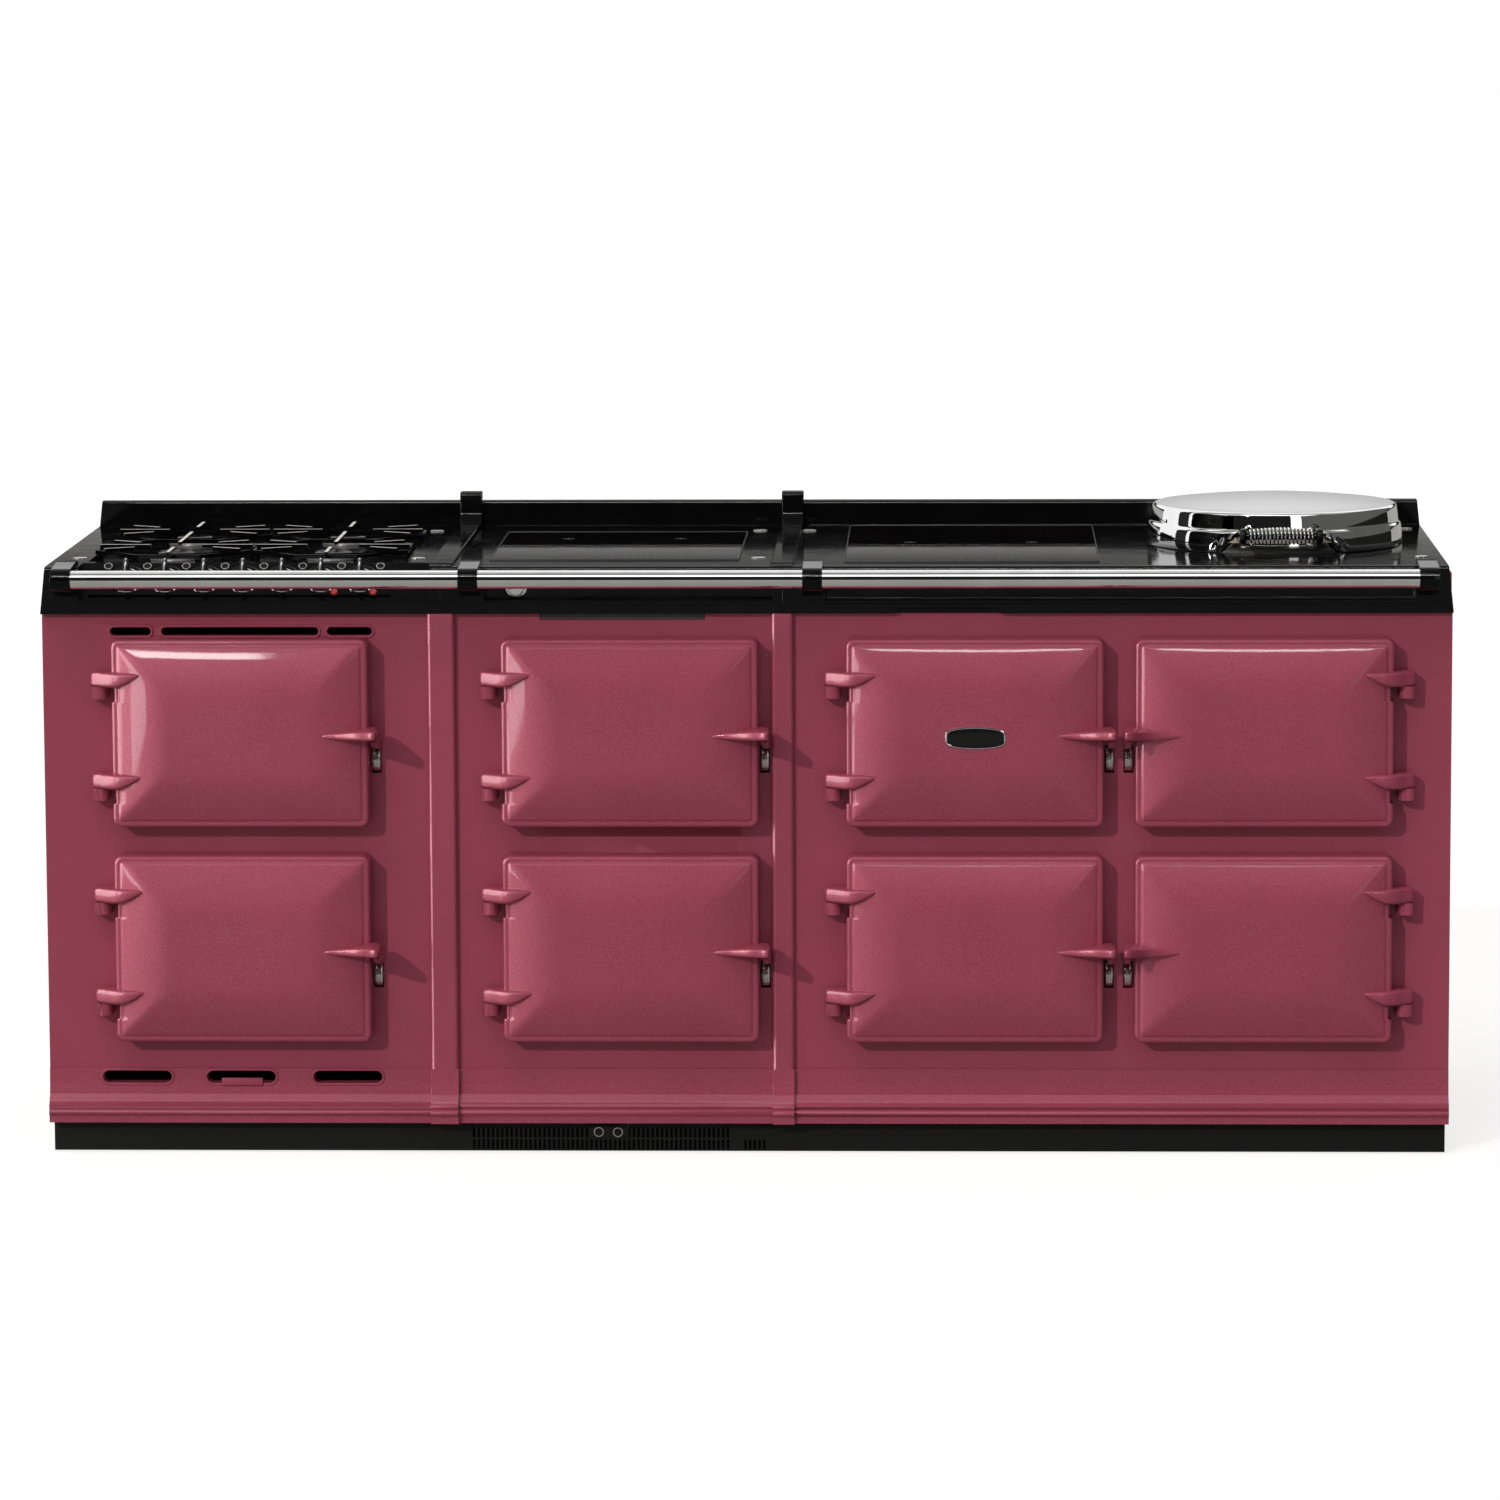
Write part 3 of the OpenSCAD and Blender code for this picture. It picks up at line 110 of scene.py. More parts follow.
class Finish:
    """A material and the few steps that build its nodes."""

    def __init__(self, name, **shader):
        self.material = bpy.data.materials.new(name)
        self.material.use_nodes = True
        self.tree = self.material.node_tree
        self.shader = self.tree.nodes["Principled BSDF"]
        for socket, value in shader.items():
            self.shader.inputs[socket.replace("_", " ")].default_value = value
        self.where = self.add("ShaderNodeTexCoord").outputs["Object"]

    def add(self, kind, inputs=(), **settings):
        """A node with its settings, its inputs given as values or as other nodes' outputs."""
        made = self.tree.nodes.new(kind)
        for key, value in settings.items():
            setattr(made, key, value)
        for key, value in dict(inputs).items():
            if isinstance(value, bpy.types.NodeSocket):
                self.tree.links.new(value, made.inputs[key])
            else:
                made.inputs[key].default_value = value
        return made

    def stretched(self, scale):
        """Object coordinates stretched along the axes, for brushed and drawn metal."""
        return self.add("ShaderNodeMapping", {"Vector": self.where, "Scale": scale}).outputs[0]

    def grain(self, size, detail=2.0, where=None):
        """Noise whose features are about size mm across."""
        vector = self.where if where is None else where
        made = self.add("ShaderNodeTexNoise", {"Vector": vector, "Scale": 1000 / size, "Detail": detail})
        return made.outputs["Fac"]

    def spread(self, value, low, high):
        """Spreads the middle of a noise over low to high."""
        made = self.add("ShaderNodeMapRange", {
            "Value": value, "From Min": 0.3, "From Max": 0.7, "To Min": low, "To Max": high})
        return made.outputs[0]

    def blend(self, amount, first, second):
        """Mixes two colours by an amount of 0 to 1."""
        made = self.add("ShaderNodeMix", data_type="RGBA")
        for socket, value in ((0, amount), (6, first), (7, second)):
            if isinstance(value, bpy.types.NodeSocket):
                self.tree.links.new(value, made.inputs[socket])
            else:
                made.inputs[socket].default_value = value
        return made.outputs[2]

    def colour(self, value):
        """Links the base colour."""
        self.tree.links.new(value, self.shader.inputs["Base Color"])
        return self

    def roughness(self, value):
        """Links the roughness."""
        self.tree.links.new(value, self.shader.inputs["Roughness"])
        return self

    def bump(self, height, depth):
        """A relief of depth mm from a height of 0 to 1."""
        made = self.add("ShaderNodeBump", {"Height": height, "Distance": depth * MM, "Strength": 1.0})
        self.tree.links.new(made.outputs[0], self.shader.inputs["Normal"])
        return self

    def coat_bump(self, height, depth):
        """A relief of the clear coat alone."""
        made = self.add("ShaderNodeBump", {"Height": height, "Distance": depth * MM, "Strength": 1.0})
        self.tree.links.new(made.outputs[0], self.shader.inputs["Coat Normal"])
        return self


def rgb(red, green, blue):
    """A colour as the sockets take it."""
    return (red, green, blue, 1.0)


def scaled(tone, share):
    """A colour made lighter or darker by a share."""
    return rgb(*(share * part for part in tone))


def raspberry_enamel(name="raspberry_enamel"):
    """Vitreous enamel with fine pale mica in it, under a clear wavy gloss."""
    f = Finish(name, Specular_IOR_Level=0.12, Coat_Weight=0.3, Coat_Roughness=0.05, Coat_IOR=1.5)
    flakes = f.grain(1.1, 3.0)
    clouds = f.spread(f.grain(160, 2.0), 0.0, 1.0)
    deep = f.blend(clouds, rgb(0.272, 0.016, 0.038), rgb(0.302, 0.022, 0.047))
    mica = f.add("ShaderNodeMapRange", {
        "Value": flakes, "From Min": 0.44, "From Max": 0.72, "To Min": 0.05, "To Max": 0.17}).outputs[0]
    f.colour(f.blend(mica, deep, rgb(0.86, 0.52, 0.72)))
    f.tree.links.new(mica, f.shader.inputs["Metallic"])
    f.roughness(f.spread(flakes, 0.36, 0.42))
    f.bump(f.grain(1.8, 2.0), 0.010)
    f.coat_bump(f.grain(14, 1.0), 0.022)
    return f.material


def black_enamel(name="black_enamel", tint=(0.0022, 0.0022, 0.0025)):
    """Black enamel on cast iron: deep, glossy and slightly wavy."""
    f = Finish(name, Specular_IOR_Level=0.15)
    clouds = f.spread(f.grain(90, 2.0), 0.0, 1.0)
    f.colour(f.blend(clouds, rgb(*tint), scaled(tint, 1.5)))
    f.roughness(f.spread(f.grain(30, 3.0), 0.07, 0.13))
    f.bump(f.grain(26, 1.0), 0.045)
    return f.material


def black_glass():
    """Ceramic glass, almost black, with a faint warm cloud in it."""
    f = Finish("black_ceramic_glass", Specular_IOR_Level=0.2)
    faint = f.spread(f.grain(120, 1.0), 0.0, 1.0)
    f.colour(f.blend(faint, rgb(0.0030, 0.0026, 0.0026), rgb(0.0060, 0.0045, 0.0040)))
    f.roughness(f.spread(f.grain(40, 2.0), 0.02, 0.05))
    return f.material


def black_metal(name, rough=0.45, tint=0.012):
    """Satin black: a powder coat with a fine tooth."""
    f = Finish(name, Specular_IOR_Level=0.25)
    tooth = f.spread(f.grain(1.2, 3.0), 0.0, 1.0)
    dark = rgb(tint * 0.8, tint * 0.8, tint * 0.8)
    light = rgb(tint * 1.3, tint * 1.3, tint * 1.35)
    f.colour(f.blend(tooth, dark, light))
    f.roughness(f.spread(tooth, rough - 0.06, rough + 0.06))
    f.bump(tooth, 0.02)
    return f.material


def metal(name, tone, rough, drawn=(1, 1, 1), grain=3.0, depth=0.0, spread=0.25):
    """Bare metal: its tone, its roughness, and the direction of its finest scratches."""
    f = Finish(name, Metallic=1.0)
    lines = f.spread(f.grain(grain, 3.0, f.stretched(drawn)), 0.0, 1.0)
    f.colour(f.blend(lines, scaled(tone, 0.90), rgb(*tone)))
    f.roughness(f.spread(lines, rough * (1 - spread), rough * (1 + spread)))
    if depth:
        f.bump(lines, depth)
    return f.material


def rough_iron():
    """Cast iron, ground on top, with fine pits."""
    f = Finish("ground_cast_iron", Metallic=0.9)
    pits = f.spread(f.grain(2.2, 4.0), 0.0, 1.0)
    f.colour(f.blend(pits, rgb(0.045, 0.043, 0.042), rgb(0.115, 0.112, 0.110)))
    f.roughness(f.spread(pits, 0.38, 0.62))
    f.bump(pits, 0.10)
    return f.material


def oven_enamel():
    """Dark grey ground-coat enamel with pale flecks."""
    f = Finish("oven_enamel", Specular_IOR_Level=0.4)
    flecks = f.add("ShaderNodeTexVoronoi", {"Vector": f.where, "Scale": 420.0}).outputs["Distance"]
    fleck = f.add("ShaderNodeMapRange", {"Value": flecks, "From Min": 0.12, "From Max": 0.22}).outputs[0]
    f.colour(f.blend(fleck, rgb(0.25, 0.25, 0.27), rgb(0.030, 0.031, 0.036)))
    f.roughness(f.spread(f.grain(8, 2.0), 0.25, 0.40))
    f.bump(f.grain(6, 2.0), 0.03)
    return f.material


def red_lens():
    """Red plastic that glows a little unevenly."""
    f = Finish("red_lamp_lens", Roughness=0.12, Coat_Weight=0.6, Coat_Roughness=0.03)
    rings = f.grain(1.6, 1.0)
    f.colour(f.blend(f.spread(rings, 0.0, 1.0), rgb(0.62, 0.010, 0.008), rgb(0.95, 0.035, 0.025)))
    f.bump(rings, 0.05)
    return f.material


def stone_wool():
    """Pale pressed insulation with upright strands."""
    f = Finish("stone_wool", Roughness=0.95)
    strands = f.spread(f.grain(2.5, 4.0, f.stretched((1, 1, 4))), 0.0, 1.0)
    f.colour(f.blend(strands, rgb(0.30, 0.26, 0.17), rgb(0.52, 0.47, 0.34)))
    f.bump(strands, 0.4)
    return f.material


ENAMEL = raspberry_enamel()
BLACK = black_enamel()
CASING = raspberry_enamel("side_panel_enamel")
GALVANISED = metal("galvanised_sheet", (0.52, 0.53, 0.54), 0.42, grain=14.0)
PLINTH = black_metal("plinth_coat", 0.55, 0.003)
GLASS = black_glass()
CHROME = metal("polished_chrome", (0.95, 0.95, 0.95), 0.028, grain=40.0)
SATIN = metal("satin_dome", (0.74, 0.74, 0.75), 0.36, grain=2.0, spread=0.12)
STEEL = metal("brushed_steel", (0.66, 0.65, 0.63), 0.26, drawn=(0.06, 1, 1), grain=1.2, depth=0.01)
# Pale steel on the tops of the black pan support bars: a painted highlight, not bare metal
BAR_HIGHLIGHT_STEEL = metal("pan_support_highlight_steel", (0.80, 0.77, 0.70), 0.45, grain=9.0)
PIN_STEEL = metal("pin_steel", (0.55, 0.55, 0.55), 0.30, drawn=(1, 1, 0.1), grain=1.0)
BURNER = metal("burner_casting", (0.22, 0.21, 0.20), 0.5, grain=1.6, depth=0.03)
BRASS = metal("tap_brass", (0.62, 0.45, 0.20), 0.30, grain=4.0)
IRON = rough_iron()
OVEN = oven_enamel()
WOOL = stone_wool()
LENS = red_lens()
KNOB_BLACK = black_metal("knob_gloss", 0.16, 0.008)
FASCIA = black_enamel("fascia_gloss", (0.003, 0.003, 0.0034))
MARK = black_metal("pale_mark", 0.5, 0.14)
EDGE_GREY = black_metal("glass_edge_grey", 0.4, 0.06)
BAR_BLACK = black_enamel("pan_support_enamel")
FILTER = black_metal("grille_filter", 0.7, 0.006)
MESH = black_metal("grey_green_mesh", 0.5, 0.10)


# ---- Making pieces ----

def placed(bm, name, materials, body, slot, stands_for=(), sharp=32):
    """Turns a mesh in mm into a finished piece that rides on its body."""
    bmesh.ops.transform(bm, matrix=Matrix.Scale(MM, 4), verts=bm.verts)
    mesh = bpy.data.meshes.new(name)
    bm.to_mesh(mesh)
    bm.free()
    mesh.shade_smooth()
    mesh.set_sharp_from_angle(angle=math.radians(sharp))
    for material in materials if isinstance(materials, (list, tuple)) else [materials]:
        mesh.materials.append(material)
    piece = bpy.data.objects.new(name, mesh)
    bpy.context.scene.collection.objects.link(piece)
    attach(piece, body)
    if stands_for:
        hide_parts(*stands_for)
    return piece


def recalculated(bm):
    """Points all faces outwards."""
    bmesh.ops.recalc_face_normals(bm, faces=list(bm.faces))


def capped(bm):
    """Closes the open ends of a shell."""
    bmesh.ops.holes_fill(bm, edges=[e for e in bm.edges if e.is_boundary], sides=0)


def leant(bm, angle, axis, place):
    """Turns a part that was made upright about one axis, and sets it at its place."""
    bmesh.ops.rotate(bm, verts=bm.verts, matrix=Matrix.Rotation(angle, 3, axis))
    bmesh.ops.translate(bm, verts=bm.verts, vec=place)


def edged(bm, radius):
    """Gives the second material to the faces outside a radius round the upright axis."""
    for face in bm.faces:
        face.material_index = int(face.calc_center_median().xy.length > radius)


def bevelled(bm, edges, width, segments=3):
    """Rounds edges by a width, and returns what the bevel made."""
    return bmesh.ops.bevel(bm, geom=edges, offset=width, segments=segments, profile=0.5,
                           affect="EDGES", material=-1, clamp_overlap=True)


def shell_part(build, *arguments, **named):
    """Runs a maker on a mesh of its own, so that its bevels and normals touch nothing else."""
    own = bmesh.new()
    build(own, *arguments, **named)
    recalculated(own)
    mesh = bpy.data.meshes.new("part")
    own.to_mesh(mesh)
    own.free()
    return mesh


def gathered(bm, mesh, matrix=None):
    """Adds a part's mesh to bm, at a place if one is given, and returns its verts."""
    before = len(bm.verts)
    if matrix is not None:
        mesh.transform(matrix)
        if matrix.determinant() < 0:
            mesh.flip_normals()
    bm.from_mesh(mesh)
    bpy.data.meshes.remove(mesh)
    bm.verts.ensure_lookup_table()
    return bm.verts[before:]


def block(bm, low, high, width=1.0, segments=2):
    """A box from corner to corner with rounded edges."""
    made = bmesh.ops.create_cube(bm, size=1.0)["verts"]
    low, high = Vector(low), Vector(high)
    size = Matrix.Diagonal(high - low).to_4x4()
    bmesh.ops.transform(bm, matrix=Matrix.Translation((low + high) / 2) @ size, verts=made)
    if width:
        bevelled(bm, list({e for v in made for e in v.link_edges}), width, segments)


def slab(bm, outline, depth, width=1.0, segments=2):
    """A flat outline of points drawn out by a vector, with rounded edges."""
    base = [bm.verts.new(point) for point in outline]
    face = bm.faces.new(base)
    top = bmesh.ops.extrude_face_region(bm, geom=[face])["geom"]
    bmesh.ops.translate(bm, verts=[v for v in top if isinstance(v, bmesh.types.BMVert)], vec=depth)
    recalculated(bm)
    if width:
        turns = [e for e in bm.edges if e.calc_face_angle(0) > math.radians(20)]
        bevelled(bm, turns, width, segments)


def turned(bm, profile, steps=64, closed=False):
    """An outline of (radius, height) turned about the upright axis."""
    verts = [bm.verts.new((r, 0, z)) for r, z in profile]
    pairs = list(zip(verts, verts[1:]))
    if closed:
        pairs.append((verts[-1], verts[0]))
    edges = [bm.edges.new(pair) for pair in pairs]
    bmesh.ops.spin(bm, geom=verts + edges, cent=(0, 0, 0), axis=(0, 0, 1), dvec=(0, 0, 0),
                   angle=2 * math.pi, steps=steps, use_merge=True, use_duplicate=False)
    bmesh.ops.remove_doubles(bm, verts=bm.verts, dist=0.002)
    recalculated(bm)


def lofted(bm, rings):
    """A closed body through rings of points that all have the same count."""
    ring = [bm.verts.new(point) for point in rings[0]]
    edges = [bm.edges.new((ring[k], ring[(k + 1) % len(ring)])) for k in range(len(ring))]
    bm.faces.new(ring)
    for points in rings[1:]:
        grown = bmesh.ops.extrude_edge_only(bm, edges=edges)["geom"]
        edges = [g for g in grown if isinstance(g, bmesh.types.BMEdge)]
        order = [next(v for v in grown if isinstance(v, bmesh.types.BMVert)
                      and any(e.other_vert(v) is old for e in v.link_edges)) for old in ring]
        edges = [e for e in edges if all(v in order for v in e.verts)]
        for vert, point in zip(order, points):
            vert.co = point
        ring = order
    bm.faces.new(ring)
    recalculated(bm)


def rounded_ring(low, high, radius, place, corner=4):
    """Points round a rectangle with round corners; place(a, b) puts them in space."""
    radius = min(radius, (high[0] - low[0]) / 2.01, (high[1] - low[1]) / 2.01)
    centres = ((high[0] - radius, high[1] - radius), (low[0] + radius, high[1] - radius),
               (low[0] + radius, low[1] + radius), (high[0] - radius, low[1] + radius))
    points = []
    for quarter, (a, b) in enumerate(centres):
        for k in range(corner + 1):
            angle = math.pi / 2 * (quarter + k / corner)
            points.append(place(a + radius * math.cos(angle), b + radius * math.sin(angle)))
    return points


# A face is flat if it meets its neighbours at less than this angle (in degrees) or at an edge, or if it is
# wider than this many mm
LEVEL_TURN = 1.5
WIDE_FACE = 10
# How nearly alike two directions are (their cosine) before one takes the other's normal
ALIKE = 0.6


def softened(node, width, materials, slot, segments=3, angle=30, paint=None):
    """A copy of a CAD node, its flat faces whole again and its edges rounded by width mm."""
    source = frame["nodes"][node]
    bm = bmesh.new()
    bm.from_mesh(source.data)
    bmesh.ops.transform(bm, matrix=Matrix.Scale(1 / MM, 4), verts=bm.verts)
    bmesh.ops.remove_doubles(bm, verts=bm.verts, dist=0.02)
    bmesh.ops.dissolve_limit(bm, angle_limit=math.radians(1.0), verts=bm.verts, edges=bm.edges,
                             use_dissolve_boundaries=False)
    flat = bm.faces.layers.int.new("flat")
    for face in bm.faces:
        face.material_index = 0
        turns = [math.degrees(e.calc_face_angle(0)) for e in face.edges]
        longest = max(e.calc_length() for e in face.edges)
        level = all(turn < LEVEL_TURN or turn > angle for turn in turns)
        face[flat] = int(level or face.calc_area() > WIDE_FACE * longest)
    if width:
        turns = [e for e in bm.edges if e.is_manifold and e.calc_face_angle(0) > math.radians(angle)]
        old = {face: face[flat] for face in bm.faces}
        for face in bevelled(bm, turns, width, segments)["faces"]:
            if face not in old:
                face[flat] = 0
    if paint:
        for face in bm.faces:
            face.material_index = paint(face.calc_center_median())
    made = placed(bm, f"{node}_finished", materials, source["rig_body"], slot, (node,))
    flat_faces(made.data)
    return made


def flat_faces(mesh):
    """Keeps flat faces flat up to their rounded edges, which take their normals from them."""
    marks = [bool(mark.value) for mark in mesh.attributes["flat"].data]
    beside = {}
    for polygon, mark in zip(mesh.polygons, marks):
        if mark:
            for vert in polygon.vertices:
                beside.setdefault(vert, []).append(polygon.normal.copy())
    corners = [normal.vector.copy() for normal in mesh.corner_normals]
    for polygon, mark in zip(mesh.polygons, marks):
        for loop in polygon.loop_indices:
            vert = mesh.loops[loop].vertex_index
            if mark:
                corners[loop] = polygon.normal
            elif vert in beside:
                nearest = max(beside[vert], key=polygon.normal.dot)
                if nearest.dot(polygon.normal) > ALIKE:
                    corners[loop] = nearest
    mesh.normals_split_custom_set(corners)
    mesh.attributes.remove(mesh.attributes["flat"])


def dressed(node, material):
    """Gives a CAD node that keeps its own shape its finish."""
    thing = frame["nodes"][node]
    thing.data.materials.clear()
    thing.data.materials.append(material)


# ---- Studio ----

# The camera: its place in m, its lens in mm, and how many degrees it looks down, to its left and leans over
CAMERA_PLACE = (0.321, -9.853, 1.855)
CAMERA_LENS = 157.488
CAMERA_DOWN = 7.426
CAMERA_LEFT = 1.877
CAMERA_LEAN = -0.258
# Strength of the white world: as fill light, and as seen by the camera and in reflections
FILL_LEVEL = 0.17
WHITE_LEVEL = 1.0
# What the floor adds for the camera alone, so that the background is white round the shadow
FLOOR_GLOW = 0.76


def studio():
    """Camera at the photograph's place, a pale floor, and the lights."""
    scene = bpy.context.scene
    scene.view_settings.view_transform = "Standard"
    lens = bpy.data.cameras.new("camera")
    lens.sensor_width = 36
    lens.lens = CAMERA_LENS
    lens.clip_end = 100
    camera = bpy.data.objects.new("camera", lens)
    down = Matrix.Rotation(math.radians(90 - CAMERA_DOWN), 4, "X")
    tilt = down @ Matrix.Rotation(math.radians(CAMERA_LEAN), 4, "Z")
    camera.location = CAMERA_PLACE
    camera.rotation_euler = (Matrix.Rotation(math.radians(CAMERA_LEFT), 4, "Z") @ tilt).to_euler()
    scene.collection.objects.link(camera)
    scene.camera = camera
    surroundings()
    floor()
    lamps()


def surroundings():
    """A white world for the camera and for reflections, and a softer one as fill light."""
    world = bpy.data.worlds.new("studio_white")
    bpy.context.scene.world = world
    world.use_nodes = True
    nodes, links = world.node_tree.nodes, world.node_tree.links
    background = nodes["Background"]
    rays = nodes.new("ShaderNodeLightPath")
    seen = rays.outputs["Is Camera Ray"]
    for kind in ("Is Glossy Ray", "Is Transmission Ray"):
        either = nodes.new("ShaderNodeMath")
        either.operation = "MAXIMUM"
        links.new(seen, either.inputs[0])
        links.new(rays.outputs[kind], either.inputs[1])
        seen = either.outputs[0]
    level = nodes.new("ShaderNodeMapRange")
    level.inputs["To Min"].default_value = FILL_LEVEL
    level.inputs["To Max"].default_value = WHITE_LEVEL
    links.new(seen, level.inputs["Value"])
    background.inputs["Color"].default_value = rgb(1, 1, 1)
    links.new(level.outputs[0], background.inputs["Strength"])


def flat_sheet(name, cells, size, width=1, depth=1):
    """A level sheet of the stage: its edges are size from its middle, times width and depth."""
    bm = bmesh.new()
    bmesh.ops.create_grid(bm, x_segments=cells, y_segments=cells, size=size)
    bmesh.ops.transform(bm, matrix=Matrix.Diagonal((width, depth, 1, 1)), verts=bm.verts)
    mesh = bpy.data.meshes.new(name)
    bm.to_mesh(mesh)
    bm.free()
    thing = bpy.data.objects.new(name, mesh)
    bpy.context.scene.collection.objects.link(thing)
    return thing


def floor():
    """A plain pale floor that keeps the cooker's shadow."""
    thing = flat_sheet("floor", 2, 30.0)
    material = bpy.data.materials.new("pale_floor")
    material.use_nodes = True
    nodes, links = material.node_tree.nodes, material.node_tree.links
    shader = nodes["Principled BSDF"]
    shader.inputs["Base Color"].default_value = rgb(0.40, 0.39, 0.365)
    shader.inputs["Roughness"].default_value = 0.9
    rays = nodes.new("ShaderNodeLightPath")
    glow = nodes.new("ShaderNodeMapRange")
    glow.inputs["To Max"].default_value = FLOOR_GLOW
    links.new(rays.outputs["Is Camera Ray"], glow.inputs["Value"])
    shader.inputs["Emission Color"].default_value = rgb(1, 1, 1)
    links.new(glow.outputs[0], shader.inputs["Emission Strength"])
    thing.data.materials.append(material)


def card(name, place, turn, size, brightness, low=None):
    """A glowing card that only reflections see, which fades to low at its foot if that is given."""
    thing = flat_sheet(name, 1, 0.5, *size)
    thing.location = place
    thing.rotation_euler = [math.radians(angle) for angle in turn]
    thing.visible_camera = False
    thing.visible_shadow = False
    thing.visible_diffuse = False
    material = bpy.data.materials.new(name)
    material.use_nodes = True
    nodes, links = material.node_tree.nodes, material.node_tree.links
    nodes.remove(nodes["Principled BSDF"])
    glow = nodes.new("ShaderNodeEmission")
    glow.inputs["Color"].default_value = rgb(1, 0.99, 0.97)
    glow.inputs["Strength"].default_value = brightness
    if low is not None:
        where = nodes.new("ShaderNodeTexCoord")
        split = nodes.new("ShaderNodeSeparateXYZ")
        links.new(where.outputs["Object"], split.inputs[0])
        fade = nodes.new("ShaderNodeMapRange")
        fade.interpolation_type = "SMOOTHSTEP"
        for socket, value in (("From Min", -size[1] / 2), ("From Max", size[1] / 2),
                              ("To Min", low), ("To Max", brightness)):
            fade.inputs[socket].default_value = value
        links.new(split.outputs["Y"], fade.inputs["Value"])
        links.new(fade.outputs[0], glow.inputs["Strength"])
    links.new(glow.outputs[0], nodes["Material Output"].inputs["Surface"])
    thing.data.materials.append(material)
    return thing


def sun(name, place, energy, spread, colour=(1, 1, 1)):
    """A far lamp that shines from a place towards the cooker; spread is how many degrees wide it looks."""
    data = bpy.data.lights.new(name, "SUN")
    data.energy = energy
    data.color = colour
    data.angle = math.radians(spread)
    thing = bpy.data.objects.new(name, data)
    thing.location = place
    thing.rotation_euler = (-Vector(place)).to_track_quat("-Z", "Y").to_euler()
    bpy.context.scene.collection.objects.link(thing)


def lamps():
    """A crisp key from the upper left, two soft fills, and the cards that bright parts reflect."""
    sun("key", (-5.7, -10, 5.1), 1.12, 1.6, (1.0, 0.985, 0.965))
    sun("overhead", (-1.5, -2.5, 6), 0.85, 40)
    sun("front_fill", (0.5, -8, 4.5), 0.55, 70)
    upright, facing_side, level = (90, 0, 0), (90, 0, 90), (0, 0, 0)
    card("softbox", (-3.6, -1.9, 1.5), facing_side, (3.2, 3.0), 5.0)
    card("dark_right", (5.5, -2.6, 0.62), facing_side, (17.8, 1.2), 0.012)
    card("black_front", (-4.8, -11.5, 4.8), upright, (16.4, 9.6), 0.012)
    card("bright_floor", (0, -16, 0.004), level, (40, 17), 0.55)
    card("grey_right", (5.6, -2.6, 3.0), facing_side, (17.8, 7.0), 0.10)
    card("dark_left", (-3.3, 0.45, 1.6), facing_side, (1.0, 2.6), 0.02)
    card("grey_behind", (0.9, 3.0, 0.78), upright, (7.4, 0.77), 0.38)
    card("fading_behind", (0.9, 3.0, 1.195), upright, (7.4, 0.06), 0.03, low=0.38)
    card("dark_behind", (0.9, 3.0, 1.41), upright, (7.4, 0.37), 0.02)
    card("grey_above", (0, -1.38, 4.5), level, (14, 2.44), 0.26)
    card("dark_above", (0, 0.69, 4.5), level, (14, 0.56), 0.08)


def reflected_lights():
    """Lights that only some pieces reflect, so that the hand rail and the lid keep their clean stripes."""
    castings = [f"casting_{door}" for door in DOORS]
    glossy_black = [f"top_plate_{part}_finished" for part in ("left", "middle", "right")]
    glossy_black += ["joint_covers_finished", "rail_brackets_finished", "control_panels_finished", "lid_grip"]
    window = card("window", (-1.35, -3.3, 2.55), (121, 0, -11), (0.55, 0.52), 50.0)
    upper_strip = card("upper_strip", (0.75, -3.3, 2.73), (122, 0, 0), (3.0, 0.17), 45.0)
    lower_strip = card("lower_strip", (0.75, -3.3, 2.41), (122, 0, 0), (3.0, 0.17), 45.0)
    tall_softbox = card("tall_softbox", (-3.5, -2.6, 1.5), (90, 0, 90), (4.6, 3.0), 13.0)
    black_strip = card("black_strip", (0, -3.3, 3.3), (130, 0, 0), (4.6, 0.5), 150.0)
    black_side = card("black_side", (-3.5, -3.0, 1.5), (90, 0, 90), (0.6, 3.0), 90.0)
    for made, pieces in (
            (window, ["casting_left_upper"]),
            (upper_strip, ["casting_centre_upper", "casting_right_upper"]),
            (lower_strip, ["casting_centre_lower", "casting_right_lower"]),
            (tall_softbox, castings + ["pilasters_finished"]),
            (black_strip, glossy_black),
            (black_side, glossy_black)):
        chosen = bpy.data.collections.new(f"lit_by_{made.name}")
        for piece in pieces:
            chosen.objects.link(bpy.data.objects[piece])
        made.light_linking.receiver_collection = chosen


# ---- Cast iron and enamel carried over from the frame ----

SIDE_T = 10
# How far down from the top of the pan supports' bars the painted highlight of pale steel reaches, in mm
BAR_HIGHLIGHT_DEPTH = 1.2


